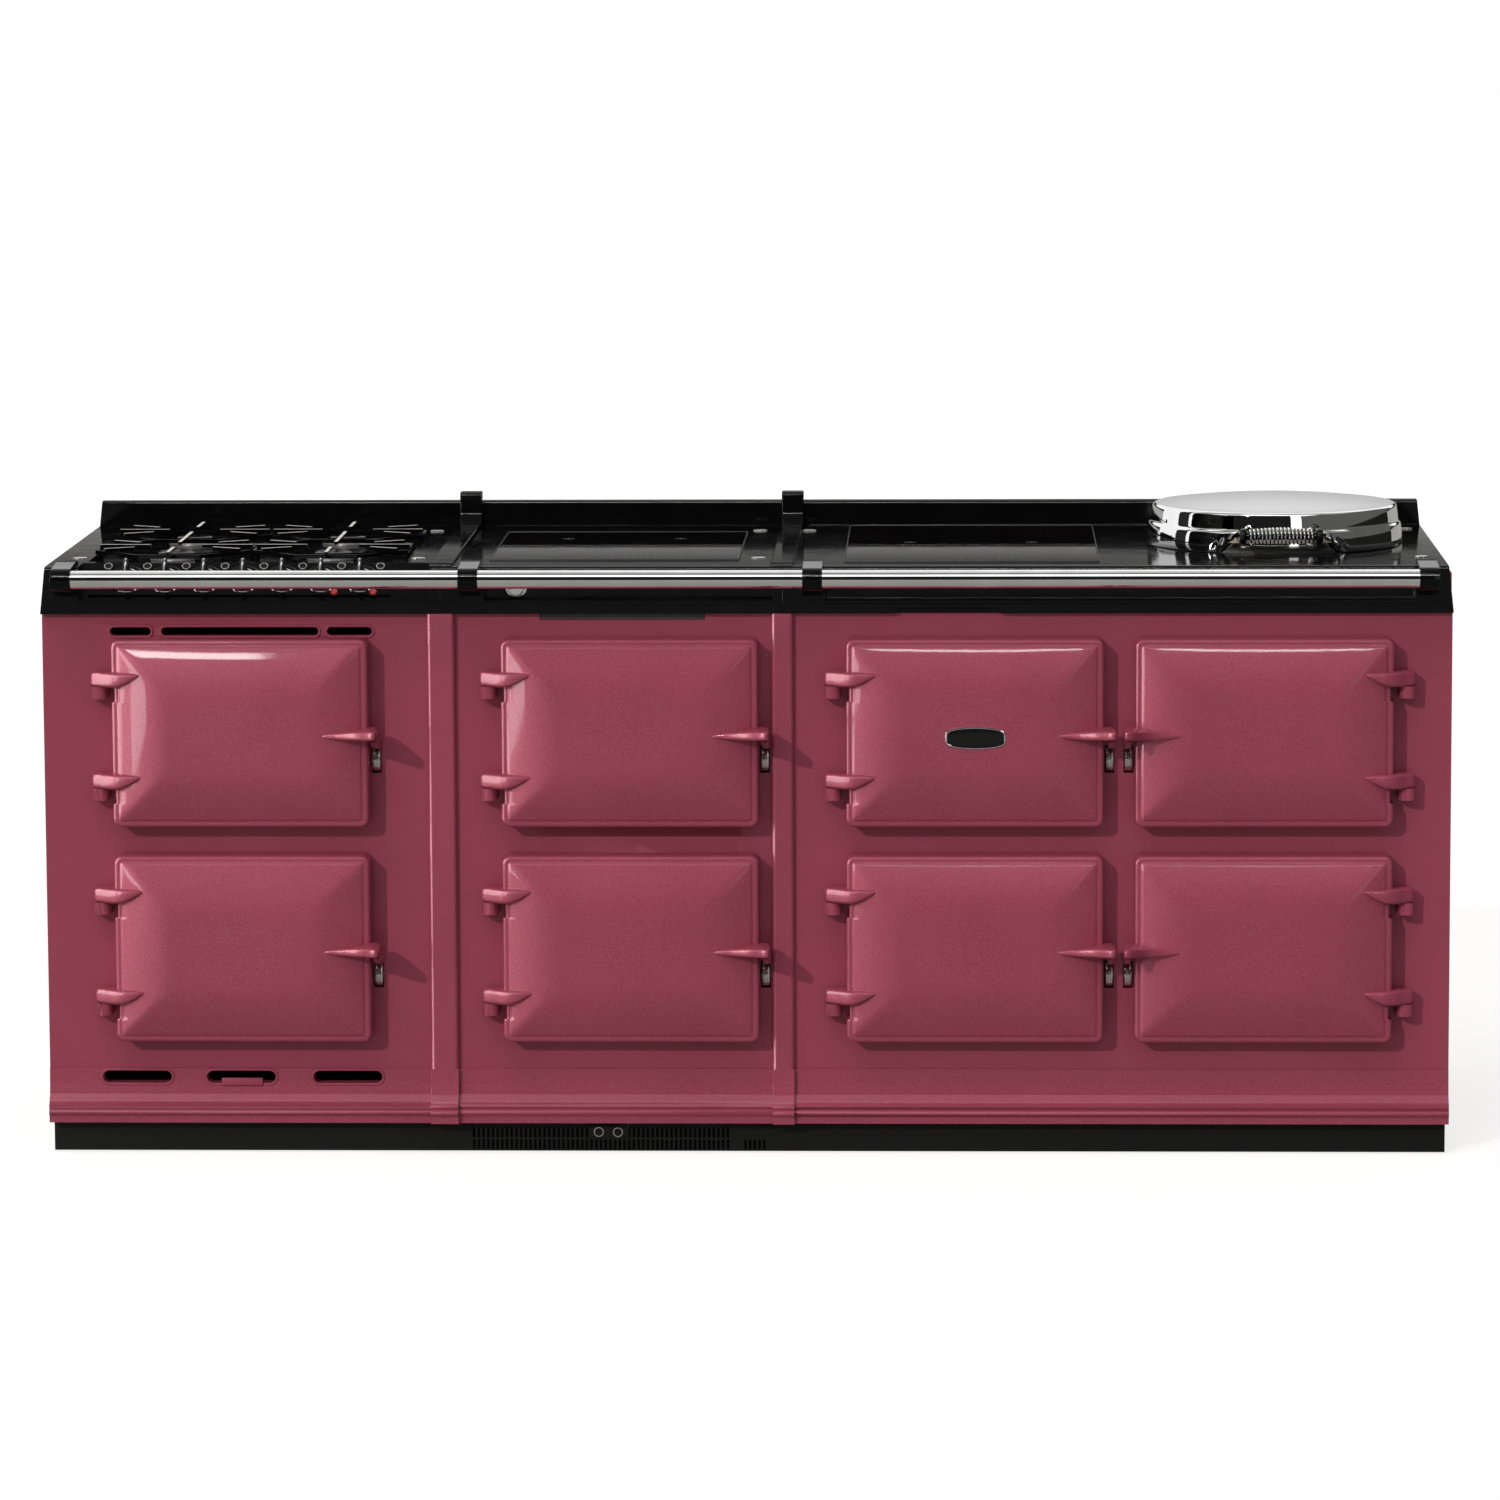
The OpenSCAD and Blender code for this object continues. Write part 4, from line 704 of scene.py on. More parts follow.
def castings():
    """The fixed castings, plates and panels, and the pan supports, whose black bars get pale steel on top as
    a painted highlight.
    """
    def side_or_inner(middle):
        return 0 if middle.x < SIDES[0] + SIDE_T or middle.x > SIDES[1] - SIDE_T else 1

    softened("front_plates", 2.2, ENAMEL, "enamel")
    softened("base_skirts", 1.4, ENAMEL, "enamel")
    softened("pilasters", 1.8, ENAMEL, "enamel")
    softened("casing_panels", 0.5, [CASING, GALVANISED], "casing", 1, paint=side_or_inner)
    for part in ("left", "middle", "right"):
        softened(f"top_plate_{part}", 2.0, BLACK, "black_enamel")
    softened("joint_covers", 2.4, BLACK, "black_enamel")
    softened("rail_brackets", 1.6, BLACK, "bracket_black")
    softened("plinth", 0.6, PLINTH, "plinth", 2)
    softened("lid_hinge_bracket", 1.0, BLACK, "bracket_black", 2)
    softened("ceramic_hobs", 1.0, GLASS, "hob_glass", 3)
    softened("control_panels", 0.8, FASCIA, "fascia_black", 2)
    for side in ("left", "right"):
        # The bars are black enamel; the faces near their top get pale steel as a painted highlight
        top = box_mm(f"pan_support_{side}")[1].z - BAR_HIGHLIGHT_DEPTH
        softened(f"pan_support_{side}", 1.4, [BAR_BLACK, BAR_HIGHLIGHT_STEEL], "pan_support", 2,
                 paint=lambda middle, top=top: int(middle.z > top))
    softened("gas_burners", 0.8, [BURNER, BLACK], "burner", 2, paint=lambda middle: int(middle.z > CAP_Z))


# ---- Doors ----

RIM_W = 10
CROWN_W = 78
CROWN_UP = 16.5
CROWN_STEP = 1.3
STEP_W = 3.2
# Higher values make the crown steeper at its foot and flatter in its middle
CROWN_POWER = 1.8
PILLOW = 1.2
# How widely the four slopes blend where they meet
MITRE_SOFT = 3.5
CORNER_R = 12
FILLET_R = 5
# The cuts in the rim beside the lugs: how deep, how far in, and the space under a lug
NOTCH = 4.2
NOTCH_W = 18
NOTCH_GAP = 4
BACK_OUT = 3
# About how wide the mesh's cells are over the middle of a door
MIDDLE_CELL = 8


def steps_across(length, extra=()):
    """Places across a door: close over its rounded edge and its crown's slope, wide over the middle."""
    rounding = [FILLET_R * (1 - math.cos(math.radians(18 * k))) for k in range(6)]
    rim = [6.5, 8, 9.2] + [RIM_W + 1.2 * k for k in range(4)]
    slope = [RIM_W + 5.5 + 3.4 * k for k in range(24)]
    near = rounding + rim + slope
    middle = length - 2 * near[-1]
    cells = round(middle / MIDDLE_CELL)
    places = near + [near[-1] + middle * k / cells for k in range(1, cells)]
    places += [length - d for d in reversed(near)]
    kept = [p for p in places if all(abs(p - q) > 0.9 or p in (0, length) for q in extra)]
    return sorted(kept + list(extra))


def crown_height(across, up):
    """How far the face stands in front of its rim: a small step, the crown's slope and a faint swell."""
    gaps = (across, DOOR_W - across, up, DOOR_H - up)
    least = min(gaps)
    blend = -MITRE_SOFT * math.log(sum(math.exp((least - gap) / MITRE_SOFT) for gap in gaps)) + least
    edge = max(0.0, min(1.0, (least - RIM_W + 1.0) / STEP_W))
    rise = max(0.0, min(1.0, (blend + 1.5 - RIM_W) / CROWN_W))
    swell = (1 - (2 * across / DOOR_W - 1) ** 2) * (1 - (2 * up / DOOR_H - 1) ** 2)
    step = CROWN_STEP * edge * edge * (3 - 2 * edge)
    return step + CROWN_UP * (1 - (1 - rise) ** CROWN_POWER) + PILLOW * swell


def door_face(bm):
    """The cast front of a door, with its rounded rim, the crown and the notches beside its lugs."""
    under = -LUG_H - NOTCH_GAP
    lug_rows = [z + side for z in HINGE_Z for side in (under - 0.5, under + 0.5, -0.5, 0.5)]
    columns, rows = steps_across(DOOR_W), steps_across(DOOR_H, lug_rows)
    wide, high = len(columns) - 1, len(rows) - 1
    made = bmesh.ops.create_grid(bm, x_segments=wide, y_segments=high, size=1.0)["verts"]
    for vert in made:
        across = columns[round((vert.co.x + 1) / 2 * wide)]
        up = rows[round((vert.co.y + 1) / 2 * high)]
        vert.co = door_point(across, up)
    rim = [e for e in bm.edges if e.is_boundary]
    grown = bmesh.ops.extrude_edge_only(bm, edges=rim)["geom"]
    for vert in grown:
        if isinstance(vert, bmesh.types.BMVert):
            vert.co.y = -BACK_OUT
    capped(bm)


def door_point(across, up):
    """A point of the door's face in the door's own frame, whose X starts at the hinge pin."""
    least = min(across, DOOR_W - across, up, DOOR_H - up)
    lift = FILLET_R - math.sqrt(max(0.0, FILLET_R ** 2 - max(0.0, FILLET_R - least) ** 2))
    out = RIM_OUT - lift + crown_height(across, up)
    near_x = across if across < DOOR_W / 2 else DOOR_W - across
    near_z = up if up < DOOR_H / 2 else DOOR_H - up
    if near_x < CORNER_R and near_z < CORNER_R:
        from_x, from_z = CORNER_R - near_x, CORNER_R - near_z
        share = max(from_x, from_z) / math.hypot(from_x, from_z)
        near_x, near_z = CORNER_R - from_x * share, CORNER_R - from_z * share
    if across < NOTCH_W and any(z - LUG_H - NOTCH_GAP < up < z for z in HINGE_Z):
        near_x += NOTCH * (1 - across / NOTCH_W)
    across = near_x if across < DOOR_W / 2 else DOOR_W - near_x
    up = near_z if up < DOOR_H / 2 else DOOR_H - near_z
    return Vector((PIN_OUT + across, -out, up))


def bar_along_x(bm, stations):
    """A body swept along X through stations: x, front, back, foot, top and corner radius."""
    lofted(bm, [rounded_ring((back, low), (front, high), radius, lambda a, b, x=x: Vector((x, -a, b)))
                for x, front, back, low, high, radius in stations])


# The stations of the hinge arm, from the pin's axis, and of the handle's fin, which climbs to its free end
ARM = ((-12.4, 27, 21, 7, 15, 3), (-11.8, 30, 18, 3.6, 18.4, 4), (-10, 32.6, 15.4, 1.2, 20.6, 4.4),
       (-7, 35, 13, 0.2, 21.7, 4.6), (0, 38, 11.6, 0, ARM_H, 4.6), (6, 43, 11.5, 0, ARM_H, 4.8),
       (13, 49, 11.5, 0, ARM_H, 5), (20, 53.4, 14, 0.1, ARM_H, 5), (28, 56.2, 38, 0.8, ARM_H, 5),
       (36, 57.6, 40, 2.8, ARM_H, 5), (44, 58.2, 41, 6.2, 21.8, 4.8), (51, 58.2, 42, 10, 21.4, 4.4),
       (57, 57.8, 43, 13.6, 20.8, 3.2), (61.5, 56.6, 44, 16.4, 20, 1.6))
EDGE = PIN_OUT + DOOR_W
FIN = ((EDGE - 70, 57.4, 42, 6.2, 7.8, 0.8), (EDGE - 67, 58.8, 42, 5.0, 9.0, 1.6),
       (EDGE - 60, 60.4, 42, 3.9, 10.3, 2.4), (EDGE - 50, 62.2, 42, 2.9, 11.6, 3.0),
       (EDGE - 38, 65, 42, 2.2, 12.8, 3.4), (EDGE - 26, 70, 41, 2.2, 14.1, 3.6),
       (EDGE - 14, 78, 40, 3.0, 15.7, 3.8), (EDGE - 4, 92, 38, 4.6, 17.6, 3.8),
       (EDGE + 4, 105, 37, 6.2, 19.2, 3.8), (EDGE + 10, 111.3, 40, 7.0, 20, 3.6),
       (EDGE + 14.5, HANDLE_REACH, 60, 7.4, 19.8, 3.2), (EDGE + 16.8, 110, 66, 8.8, 18.6, 2.4))
# The hook behind the handle: how far out, and height above the fin's foot
HOOK = ((3, 1.5), (3, -15), (26, -15), (34, -13.5), (58, -7.4), (80, 1.5))
HOOK_W = 11
HOOK_OUT = 17


def hook(bm):
    """The hook that rests on the catch roller."""
    points = [Vector((EDGE + HOOK_OUT - HOOK_W, -out, up)) for out, up in HOOK]
    slab(bm, points, Vector((HOOK_W, 0, 0)), 1.6, 3)


def door_casting(door):
    """A door's face, arms and handle in one piece, mirrored for the doors that hang on the right."""
    low, high = box_mm(f"liner_{door}")
    side = -1 if door.startswith("right") else 1
    pin_x = low.x - FLANGE_LAP - PIN_OUT if side > 0 else high.x + FLANGE_LAP + PIN_OUT
    foot = low.z - FLANGE_LAP
    bm = bmesh.new()
    gathered(bm, shell_part(door_face))
    for z in HINGE_Z:
        gathered(bm, shell_part(bar_along_x, ARM), Matrix.Translation((0, 0, z)))
    gathered(bm, shell_part(bar_along_x, FIN), Matrix.Translation((0, 0, FIN_Z)))
    gathered(bm, shell_part(hook), Matrix.Translation((0, 0, FIN_Z)))
    if side < 0:
        bmesh.ops.transform(bm, matrix=Matrix.Diagonal((-1, 1, 1, 1)), verts=bm.verts)
        bmesh.ops.reverse_faces(bm, faces=bm.faces)
    bmesh.ops.translate(bm, verts=bm.verts, vec=(pin_x, FACE_Y, foot))
    placed(bm, f"casting_{door}", ENAMEL, f"{door}_door", "enamel", (f"door_{door}",), 50)


def roller(door):
    """A steel catch roller: a wheel with a rounded rim, two grooves and a bore."""
    low, high = box_mm(f"roller_{door}")
    width = high.x - low.x
    profile = [(3.2, 0), (12, 0), (12.6, 0.8), (15.5, 0.8), (16.5, 0), (17.6, 0.2), (18.3, 1.0)]
    profile += [(ROLLER_R, 2.0), (ROLLER_R, 3.6), (17.9, 3.9), (17.9, 4.3), (ROLLER_R, 4.6)]
    outline = profile + [(r, width - z) for r, z in reversed(profile)]
    bm = bmesh.new()
    turned(bm, outline, 64, closed=True)
    leant(bm, math.pi / 2, "Y", (low.x, (low.y + high.y) / 2, (low.z + high.z) / 2))
    placed(bm, f"catch_{door}", STEEL, f"{door}_roller", "roller_steel", (f"roller_{door}",))


# ---- Badge ----

BADGE_W = 88
BADGE_H = 33
BADGE_UP = 135
# How square the badge's ends are, and how much lower it is at its ends than in its middle
BADGE_POWER = 0.34
BADGE_BOW = 0.3
# Each step of a profile: how far in from the outline, and how far behind the crown's front
BADGE_EDGE = ((0, 2.0), (0, -1.2), (0.5, -2.0), (1.4, -2.3), (2.2, -2.0), (2.6, -1.2), (2.6, 1.6))
BADGE_PLATE = ((2.4, 1.8), (2.4, -1.0), (3.2, -1.4), (8, -1.7), (14, -1.8))


def badge_outline(inset, steps=72):
    """A barrel-shaped plate: sides above and below that bow out, and round ends."""
    half, rise = BADGE_W / 2 - inset, BADGE_H / 2 - inset
    points = []
    for k in range(steps):
        angle = 2 * math.pi * k / steps
        c, s = math.cos(angle), math.sin(angle)
        across = math.copysign(abs(c) ** BADGE_POWER, c)
        up = math.copysign(abs(s) ** BADGE_POWER, s)
        points.append((half * across, rise * up * (1 - BADGE_BOW * across * across)))
    return points


def badge():
    """The bare badge on one door: a chrome edge round a black plate."""
    low, high = box_mm(f"liner_{BADGE_DOOR}")
    centre = Vector(((low.x + high.x) / 2 + 1, 0, low.z - FLANGE_LAP + BADGE_UP))
    front = FACE_Y - RIM_OUT - CROWN_STEP - CROWN_UP - PILLOW
    for name, material, slot, levels in (("badge_edge", CHROME, "rail_chrome", BADGE_EDGE),
                                         ("badge_plate", KNOB_BLACK, "knob", BADGE_PLATE)):
        bm = bmesh.new()
        lofted(bm, [[centre + Vector((x, front + out, z)) for x, z in badge_outline(inset)]
                    for inset, out in levels])
        placed(bm, name, material, f"{BADGE_DOOR}_door", slot)


# ---- Lid ----

LID_CENTRE = (box_mm("hotplate")[0] + box_mm("hotplate")[1]) / 2
DOME_R = 177
DOME_FOOT = 61.4
DOME_TOP = 73.5
LID_WALL = 3
# Radius and height of the polished side, from its foot up to the dome, and of the ring that joins them
LID_SIDE = ((186, 1.2), (192.4, 1.0), (193.0, 2.2), (192.7, 12), (191.9, 22), (190.8, 30), (189.6, 33.0),
            (187.8, 34.2), (187.0, 35.8), (186.8, 38), (186.0, 46), (185.0, 53), (184.4, 56.6), (183.6, 58.8),
            (182.2, 60.2), (180.0, 60.9))
DOME_RING = ((180.0, 60.9), (178.6, 61.5), (DOME_R, DOME_FOOT))
# The hollow behind the handle: half its width, how much narrower it gets to its top, its depth and its top
SCALLOP_HALF = 92
SCALLOP_TAPER = 46
SCALLOP_IN = 26
SCALLOP_TOP = 37
# The two arms on the lid's pin: where each starts across the lid, its thickness, and the eye round the pin
LID_ARM_X = (-34, 22)
LID_ARM_T = 12
EYE_R = 9
PIN_Y = 213
PIN_UP = 25


def at_lid(bm):
    """Sets a part that was made round the lid's axis on the hob."""
    bmesh.ops.translate(bm, verts=bm.verts, vec=(LID_CENTRE.x, LID_CENTRE.y, HOB_Z))


def scalloped(bm):
    """Draws the lower band in behind the handle, for the fingers, with soft ends at its sides and top."""
    for vert in bm.verts:
        across = abs(vert.co.x)
        if vert.co.y > 0 or vert.co.z > SCALLOP_TOP:
            continue
        reach = SCALLOP_HALF - SCALLOP_TAPER * max(0.0, vert.co.z - 3) / (SCALLOP_TOP - 3)
        share = max(0.0, min(1.0, (reach + 10 - across) / 26))
        share *= share * (3 - 2 * share)
        share *= max(0.0, min(1.0, (SCALLOP_TOP - vert.co.z) / 7))
        flat = Vector((vert.co.x, vert.co.y, 0))
        inward = flat * (SCALLOP_IN * share / flat.length)
        vert.co -= inward


def lid():
    """The lid's polished side with its step and its hinge arms, and its satin dome."""
    inner = [(r - LID_WALL, max(1.2, z - LID_WALL / 2)) for r, z in reversed(LID_SIDE)]
    bm = bmesh.new()
    turned(bm, list(LID_SIDE) + inner, 192, closed=True)
    scalloped(bm)
    at_lid(bm)
    for x in LID_ARM_X:
        gathered(bm, shell_part(lid_arm, x))
    placed(bm, "lid_side", CHROME, "hotplate_lid", "lid_chrome", ("lid_shell",), 40)
    bm = bmesh.new()
    shares = [1 - k / 12 for k in range(1, 13)]
    top = [(DOME_R * share, DOME_FOOT + (DOME_TOP - DOME_FOOT) * (1 - share ** 2)) for share in shares]
    under = [(r, z - 2.0) for r, z in reversed(top)] + [(DOME_R, 58.6)]
    turned(bm, list(DOME_RING) + top + under, 128)
    capped(bm)
    at_lid(bm)
    placed(bm, "lid_dome", SATIN, "hotplate_lid", "lid_chrome", sharp=40)


def lid_arm(bm, x):
    """One of the two arms behind the lid that turn on its pin."""
    turns = [math.radians(angle) for angle in range(-60, 91, 30)]
    points = [(159, 10), (PIN_Y, 16)]
    points += [(PIN_Y + EYE_R * math.cos(turn), PIN_UP + EYE_R * math.sin(turn)) for turn in turns]
    points += [(159, 44)]
    outline = [Vector((LID_CENTRE.x + x, LID_CENTRE.y + y, HOB_Z + z)) for y, z in points]
    slab(bm, outline, Vector((LID_ARM_T, 0, 0)), 1.2, 2)


ROD_OUT = 225
ROD_UP = 31
ROD_R = 5.5
ROD_HALF = 52
COIL_L = 100
COIL_TURNS = 17
COIL_WIRE = 1.4
COIL_R = 8.6
COIL_BULGE = 3.6
GRIP_CENTRE = Vector((LID_CENTRE.x, LID_CENTRE.y - ROD_OUT, HOB_Z + ROD_UP))
LUG_W = 11
# The handle's lug: how far from the lid's axis, foot and top above the hob, corner radius, how much narrower
GRIP_LUG = ((166, 16, 34, 4, -3), (180, 17, 36, 4, -2), (192, 18.5, 38, 4.4, -0.5), (204, 19.5, 41, 5, 0),
            (214, 19.5, 43, 5.4, 0), (226, 19.5, 43, 5.4, 0), (233, 20.5, 42, 5, 0.6), (237, 23, 39.5, 4, 2),
            (238.5, 26, 36, 2.5, 3.6))


def coil():
    """The wound wire grip: a barrel of turns, swept as one tube."""
    points_per_turn, sides = 20, 8
    count = COIL_TURNS * points_per_turn

    def path(k):
        share = k / count
        bulge = math.sin(math.pi * share) ** 0.8 if 0 < share < 1 else 0.0
        radius = COIL_R + COIL_BULGE * bulge
        angle = 2 * math.pi * k / points_per_turn
        along = (COIL_L - 2 * COIL_WIRE - 0.8) * (share - 0.5)
        return GRIP_CENTRE + Vector((along, radius * math.cos(angle), radius * math.sin(angle)))

    rings = []
    for k in range(count + 1):
        here = path(k)
        ahead = (path(min(k + 1, count)) - path(max(k - 1, 0))).normalized()
        out = here - GRIP_CENTRE
        out.x = 0
        out = (out - ahead * out.dot(ahead)).normalized()
        across = ahead.cross(out)
        rings.append([here + COIL_WIRE * (math.cos(a) * out + math.sin(a) * across)
                      for a in (2 * math.pi * s / sides for s in range(sides))])
    bm = bmesh.new()
    lofted(bm, rings)
    placed(bm, "lid_grip_coil", CHROME, "hotplate_lid", "coil_steel", ("lid_coil",), 60)


def lid_handle():
    """Two cast lugs with rounded ends, and the rod that the coil is wound round."""
    bm = bmesh.new()
    for side in (-1, 1):
        gathered(bm, shell_part(handle_lug, side))
    gathered(bm, shell_part(handle_rod))
    placed(bm, "lid_grip", BLACK, "hotplate_lid", "bracket_black", ("lid_handle",), 40)


def handle_lug(bm, side):
    """The lug at one side of the coil."""
    inner = COIL_L / 2 + 1
    outer = inner + LUG_W
    rings = []
    for out, low, high, radius, slim in GRIP_LUG:
        def place(across, up, out=out):
            return Vector((side * across + LID_CENTRE.x, LID_CENTRE.y - out, HOB_Z + up))
        rings.append(rounded_ring((inner + slim, low), (outer - slim, high), radius, place))
    lofted(bm, rings)


def handle_rod(bm):
    """The rod between the lugs."""
    turned(bm, [(0, -ROD_HALF), (ROD_R, -ROD_HALF), (ROD_R, ROD_HALF), (0, ROD_HALF)], 32)
    leant(bm, math.pi / 2, "Y", GRIP_CENTRE)


# ---- Rail ----

def hand_rail():
    """The chrome tube, with a ring near each end so that its shine runs straight."""
    low, high = box_mm("hand_rail")
    radius = (high.z - low.z) / 2
    length = high.x - low.x
    outline = [(0, 0), (radius - 1.2, 0), (radius - 0.4, 0.4), (radius, 1.2), (radius, 2.4), (radius, 5)]
    outline += [(r, length - z) for r, z in reversed(outline)]
    bm = bmesh.new()
    turned(bm, outline, 96)
    leant(bm, math.pi / 2, "Y", (low.x, (low.y + high.y) / 2, (low.z + high.z) / 2))
    placed(bm, "hand_rail_tube", CHROME, COOKER, "rail_chrome", ("hand_rail",))


# ---- Knobs, lamps and dial ----

KNOB_R = 19
KNOB_H = 31
SLOPE_RISE = 0.678283
SLOPE_RUN = 0.734804
SLOPE = math.atan2(SLOPE_RISE, SLOPE_RUN)
# Outlines of the turned parts: radius, and height above the face that they stand on
KNOB_SKIRT = ((0, 0.4), (17.0, 0.4), (17.0, 3.2), (16.4, 5.0), (14.4, 7.2), (12.4, 8.8), (11.4, 11),
              (10.6, 13.6), (9.6, 14.6), (0, 14.8))
KNOB_RING = ((17.0, 0.2), (18.6, 0.2), (KNOB_R, 0.8), (KNOB_R, 2.4), (18.4, 3.5), (17.4, 3.8), (16.9, 3.4))
LAMP_LENS = ((5.4, -1), (5.4, 0.6), (4.8, 2.2), (3.2, 3.4), (1.4, 3.9), (0, 4.0))
LAMP_EDGE = ((5.5, -1), (6.6, -1), (6.6, 0.2), (6.2, 0.8), (5.5, 0.9))
COLLAR = ((19.6, -0.6), (26, -0.6), (26.4, 0.2), (26.2, 1.6), (25.2, 2.4), (22, 2.5), (20.2, 2.0),
          (19.6, 1.2))
ROUND_MARK = ((0, -0.5), (6.4, -0.5), (6.4, 0.7), (5.9, 1.2), (5.2, 1.2), (4.8, 0.7), (0, 0.7))
DIAL = ((0, -9), (4, -9), (4, 0), (13.4, 0), (14, 0.8), (14, 4.4), (13.2, 5.6), (12.2, 5.8),
        (11.4, 5.2), (10.8, 5.0), (10.4, 6.4), (10.0, 15.4), (9.2, 16.6), (0, 17.0))
# Where the collars and the round marks turn from black to metal
COLLAR_EDGE = 25.6
MARK_EDGE = 4.9
# The lamps sit below the last two knobs, the marks above and beside all of them
LAMP_BESIDE = 20
LAMP_DOWN = -26
MARK_BESIDE = 28
MARK_UP = 26
DIAL_SHAFT = 9
DIAL_WIDER = 1.2
DIAL_TURN = 20
DIAL_TEETH = 24


def knob_foot(number):
    """Where a knob's axis meets the fascia."""
    low, high = box_mm(f"knob_{number}")
    back, foot = high.y - KNOB_R * math.cos(SLOPE), low.z + KNOB_R * math.sin(SLOPE)
    return Vector(((low.x + high.x) / 2, back, foot))


def slope_point(x, up, out):
    """A point of the fascia: how far up its slope from the knobs' line, and how far out of it."""
    foot = knob_foot(1)
    foot.x = x
    along = Vector((0, math.cos(SLOPE), math.sin(SLOPE)))
    outward = Vector((0, -math.sin(SLOPE), math.cos(SLOPE)))
    return foot + along * up + outward * out


def knob(number):
    """A black knob with a chrome ring round its skirt and a chrome line along its grip."""
    half = KNOB_R - 3
    grip = ((-3.5, -half, 5), (3.5, half, KNOB_H - 1), 1.6, 3)
    line = ((-1.3, -half + 1.5, 26), (1.3, half - 1.5, KNOB_H), 0.6, 2)
    for name, material, profile, closed, bar, stands_for in (
            ("grip", KNOB_BLACK, KNOB_SKIRT, False, grip, (f"knob_{number}",)),
            ("line", CHROME, KNOB_RING, True, line, ())):
        bm = bmesh.new()
        gathered(bm, shell_part(turned, profile, 64, closed))
        gathered(bm, shell_part(block, *bar))
        leant(bm, SLOPE, "X", knob_foot(number))
        placed(bm, f"knob_{name}_{number}", material, f"knob_{number}_body", "knob", stands_for)


def on_fascia(name, materials, profile, steps, place, closed=False, edge=0.0):
    """A small turned piece that stands out of the sloping fascia, its second material outside a radius."""
    bm = bmesh.new()
    turned(bm, profile, steps, closed)
    capped(bm)
    if edge:
        edged(bm, edge)
    leant(bm, SLOPE, "X", place)
    placed(bm, name, materials, COOKER, "fascia_black")


def fascia_marks():
    """Two red lamps, a collar round each knob whose chrome outer edge is a painted highlight for the pale
    arcs under the knobs, and the round marks between the knobs.
    """
    centres = [knob_foot(k).x for k in range(1, 8)]
    for number, centre in enumerate(centres[5:], 1):
        place = slope_point(centre + LAMP_BESIDE, LAMP_DOWN, 0)
        on_fascia(f"lamp_lens_{number}", LENS, LAMP_LENS, 32, place)
        on_fascia(f"lamp_edge_{number}", KNOB_BLACK, LAMP_EDGE, 32, place, closed=True)
    for number, centre in enumerate(centres, 1):
        # The chrome outside COLLAR_EDGE is a painted highlight for the pale arcs on the knob skirts
        on_fascia(f"knob_collar_{number}", [KNOB_BLACK, CHROME], COLLAR, 72, slope_point(centre, 0, -0.3),
                  closed=True, edge=COLLAR_EDGE)
    for number, x in enumerate([centres[0] - 30] + [centre + MARK_BESIDE for centre in centres], 1):
        on_fascia(f"round_mark_{number}", [KNOB_BLACK, STEEL], ROUND_MARK, 32, slope_point(x, MARK_UP, -0.2),
                  edge=MARK_EDGE)


def dial():
    """The chrome dial: a toothed rim, a hub with a cross on its end, and its shaft."""
    low, high = box_mm("thermostat_dial")
    bm = bmesh.new()
    gathered(bm, shell_part(turned, DIAL, 64))
    for angle in (0, 90):
        turn = Matrix.Rotation(math.radians(angle + DIAL_TURN), 4, "Z")
        gathered(bm, shell_part(block, (-8.4, -0.9, 16.4), (8.4, 0.9, 18), 0.4, 2), turn)
    for k in range(DIAL_TEETH):
        turn = Matrix.Rotation(2 * math.pi * k / DIAL_TEETH, 4, "Z") @ Matrix.Translation((13.6, 0, 0))
        gathered(bm, shell_part(block, (-0.6, -0.5, 0.9), (0.6, 0.5, 4.3), 0.2, 1), turn)
    bmesh.ops.transform(bm, matrix=Matrix.Diagonal((DIAL_WIDER, DIAL_WIDER, 1, 1)), verts=bm.verts)
    leant(bm, math.pi / 2, "X", ((low.x + high.x) / 2, high.y - DIAL_SHAFT, (low.z + high.z) / 2))
    placed(bm, "dial_chrome", CHROME, "dial_body", "rail_chrome", ("thermostat_dial",))


# ---- Small trim on the castings ----

# The vents over the left upper door and the slots of the left skirt: how far from the left end, how long,
# their foot and top, and how far their rims stand out
VENTS = ((101, 60), (177, 232), (422, 66))
VENT_Z = (775, 787)
VENT_OUT = 0.2
SLOTS = ((80, 102), (235, 102), (394, 102))
SLOT_Z = (106, 124)
SLOT_OUT = 3.6
LIP_R = 2.2
TAB_X = 257
TAB_W = 61
# The bosses on the hob plates: places, outline, and how oval they are
BOSS_PLACES = ((-995, -151), (-494, 261), (-489, -160), (7, 263), (17, -160), (83, 262), (1000, -151),
               (1004, 281))
BOSS = ((0, -1), (10.6, -1), (10.6, 0.9), (9.8, 1.7), (7, 2.1), (0, 2.2))
BOSS_OVAL = 0.75
# The middle glass's front, right and back, and the right glass's left edge; the node's box gives the others
MIDDLE_PANE = (-186, -12, 229)
RIGHT_PANE_X = 146
DOT = ((0, -0.4), (1.3, -0.4), (1.3, 0.15), (1.0, 0.3), (0, 0.3))
# Rows of dots on the middle glass: from, to, how many
DOT_ROWS = ((-340, -307, 4), (-211, -115, 10), (-105, -75, 4))
DOTS_Y = -165
CROSSES = ((-282, 120), (-110, 120), (-282, -30), (-110, -30), (240, 60), (425, 60))
CROSS_REACH = 9
SWITCH = ((0, -1), (8, -1), (8, 1.6), (7.2, 2.6), (6, 2.6), (5.4, 1.2), (3.6, 1.2), (3.2, 4.0), (0, 4.4))
SWITCH_EDGE = 5.3
SWITCH_PLACES = ((-221, 31), (-192.5, 30.5))
# The mesh over the middle door: how far from the joint, how long, its foot and top, its wires and their pitch
MESH_X = 146
MESH_L = 242
MESH_Z = (799, 807.5)
MESH_WIRES = 60
MESH_PITCH = 4


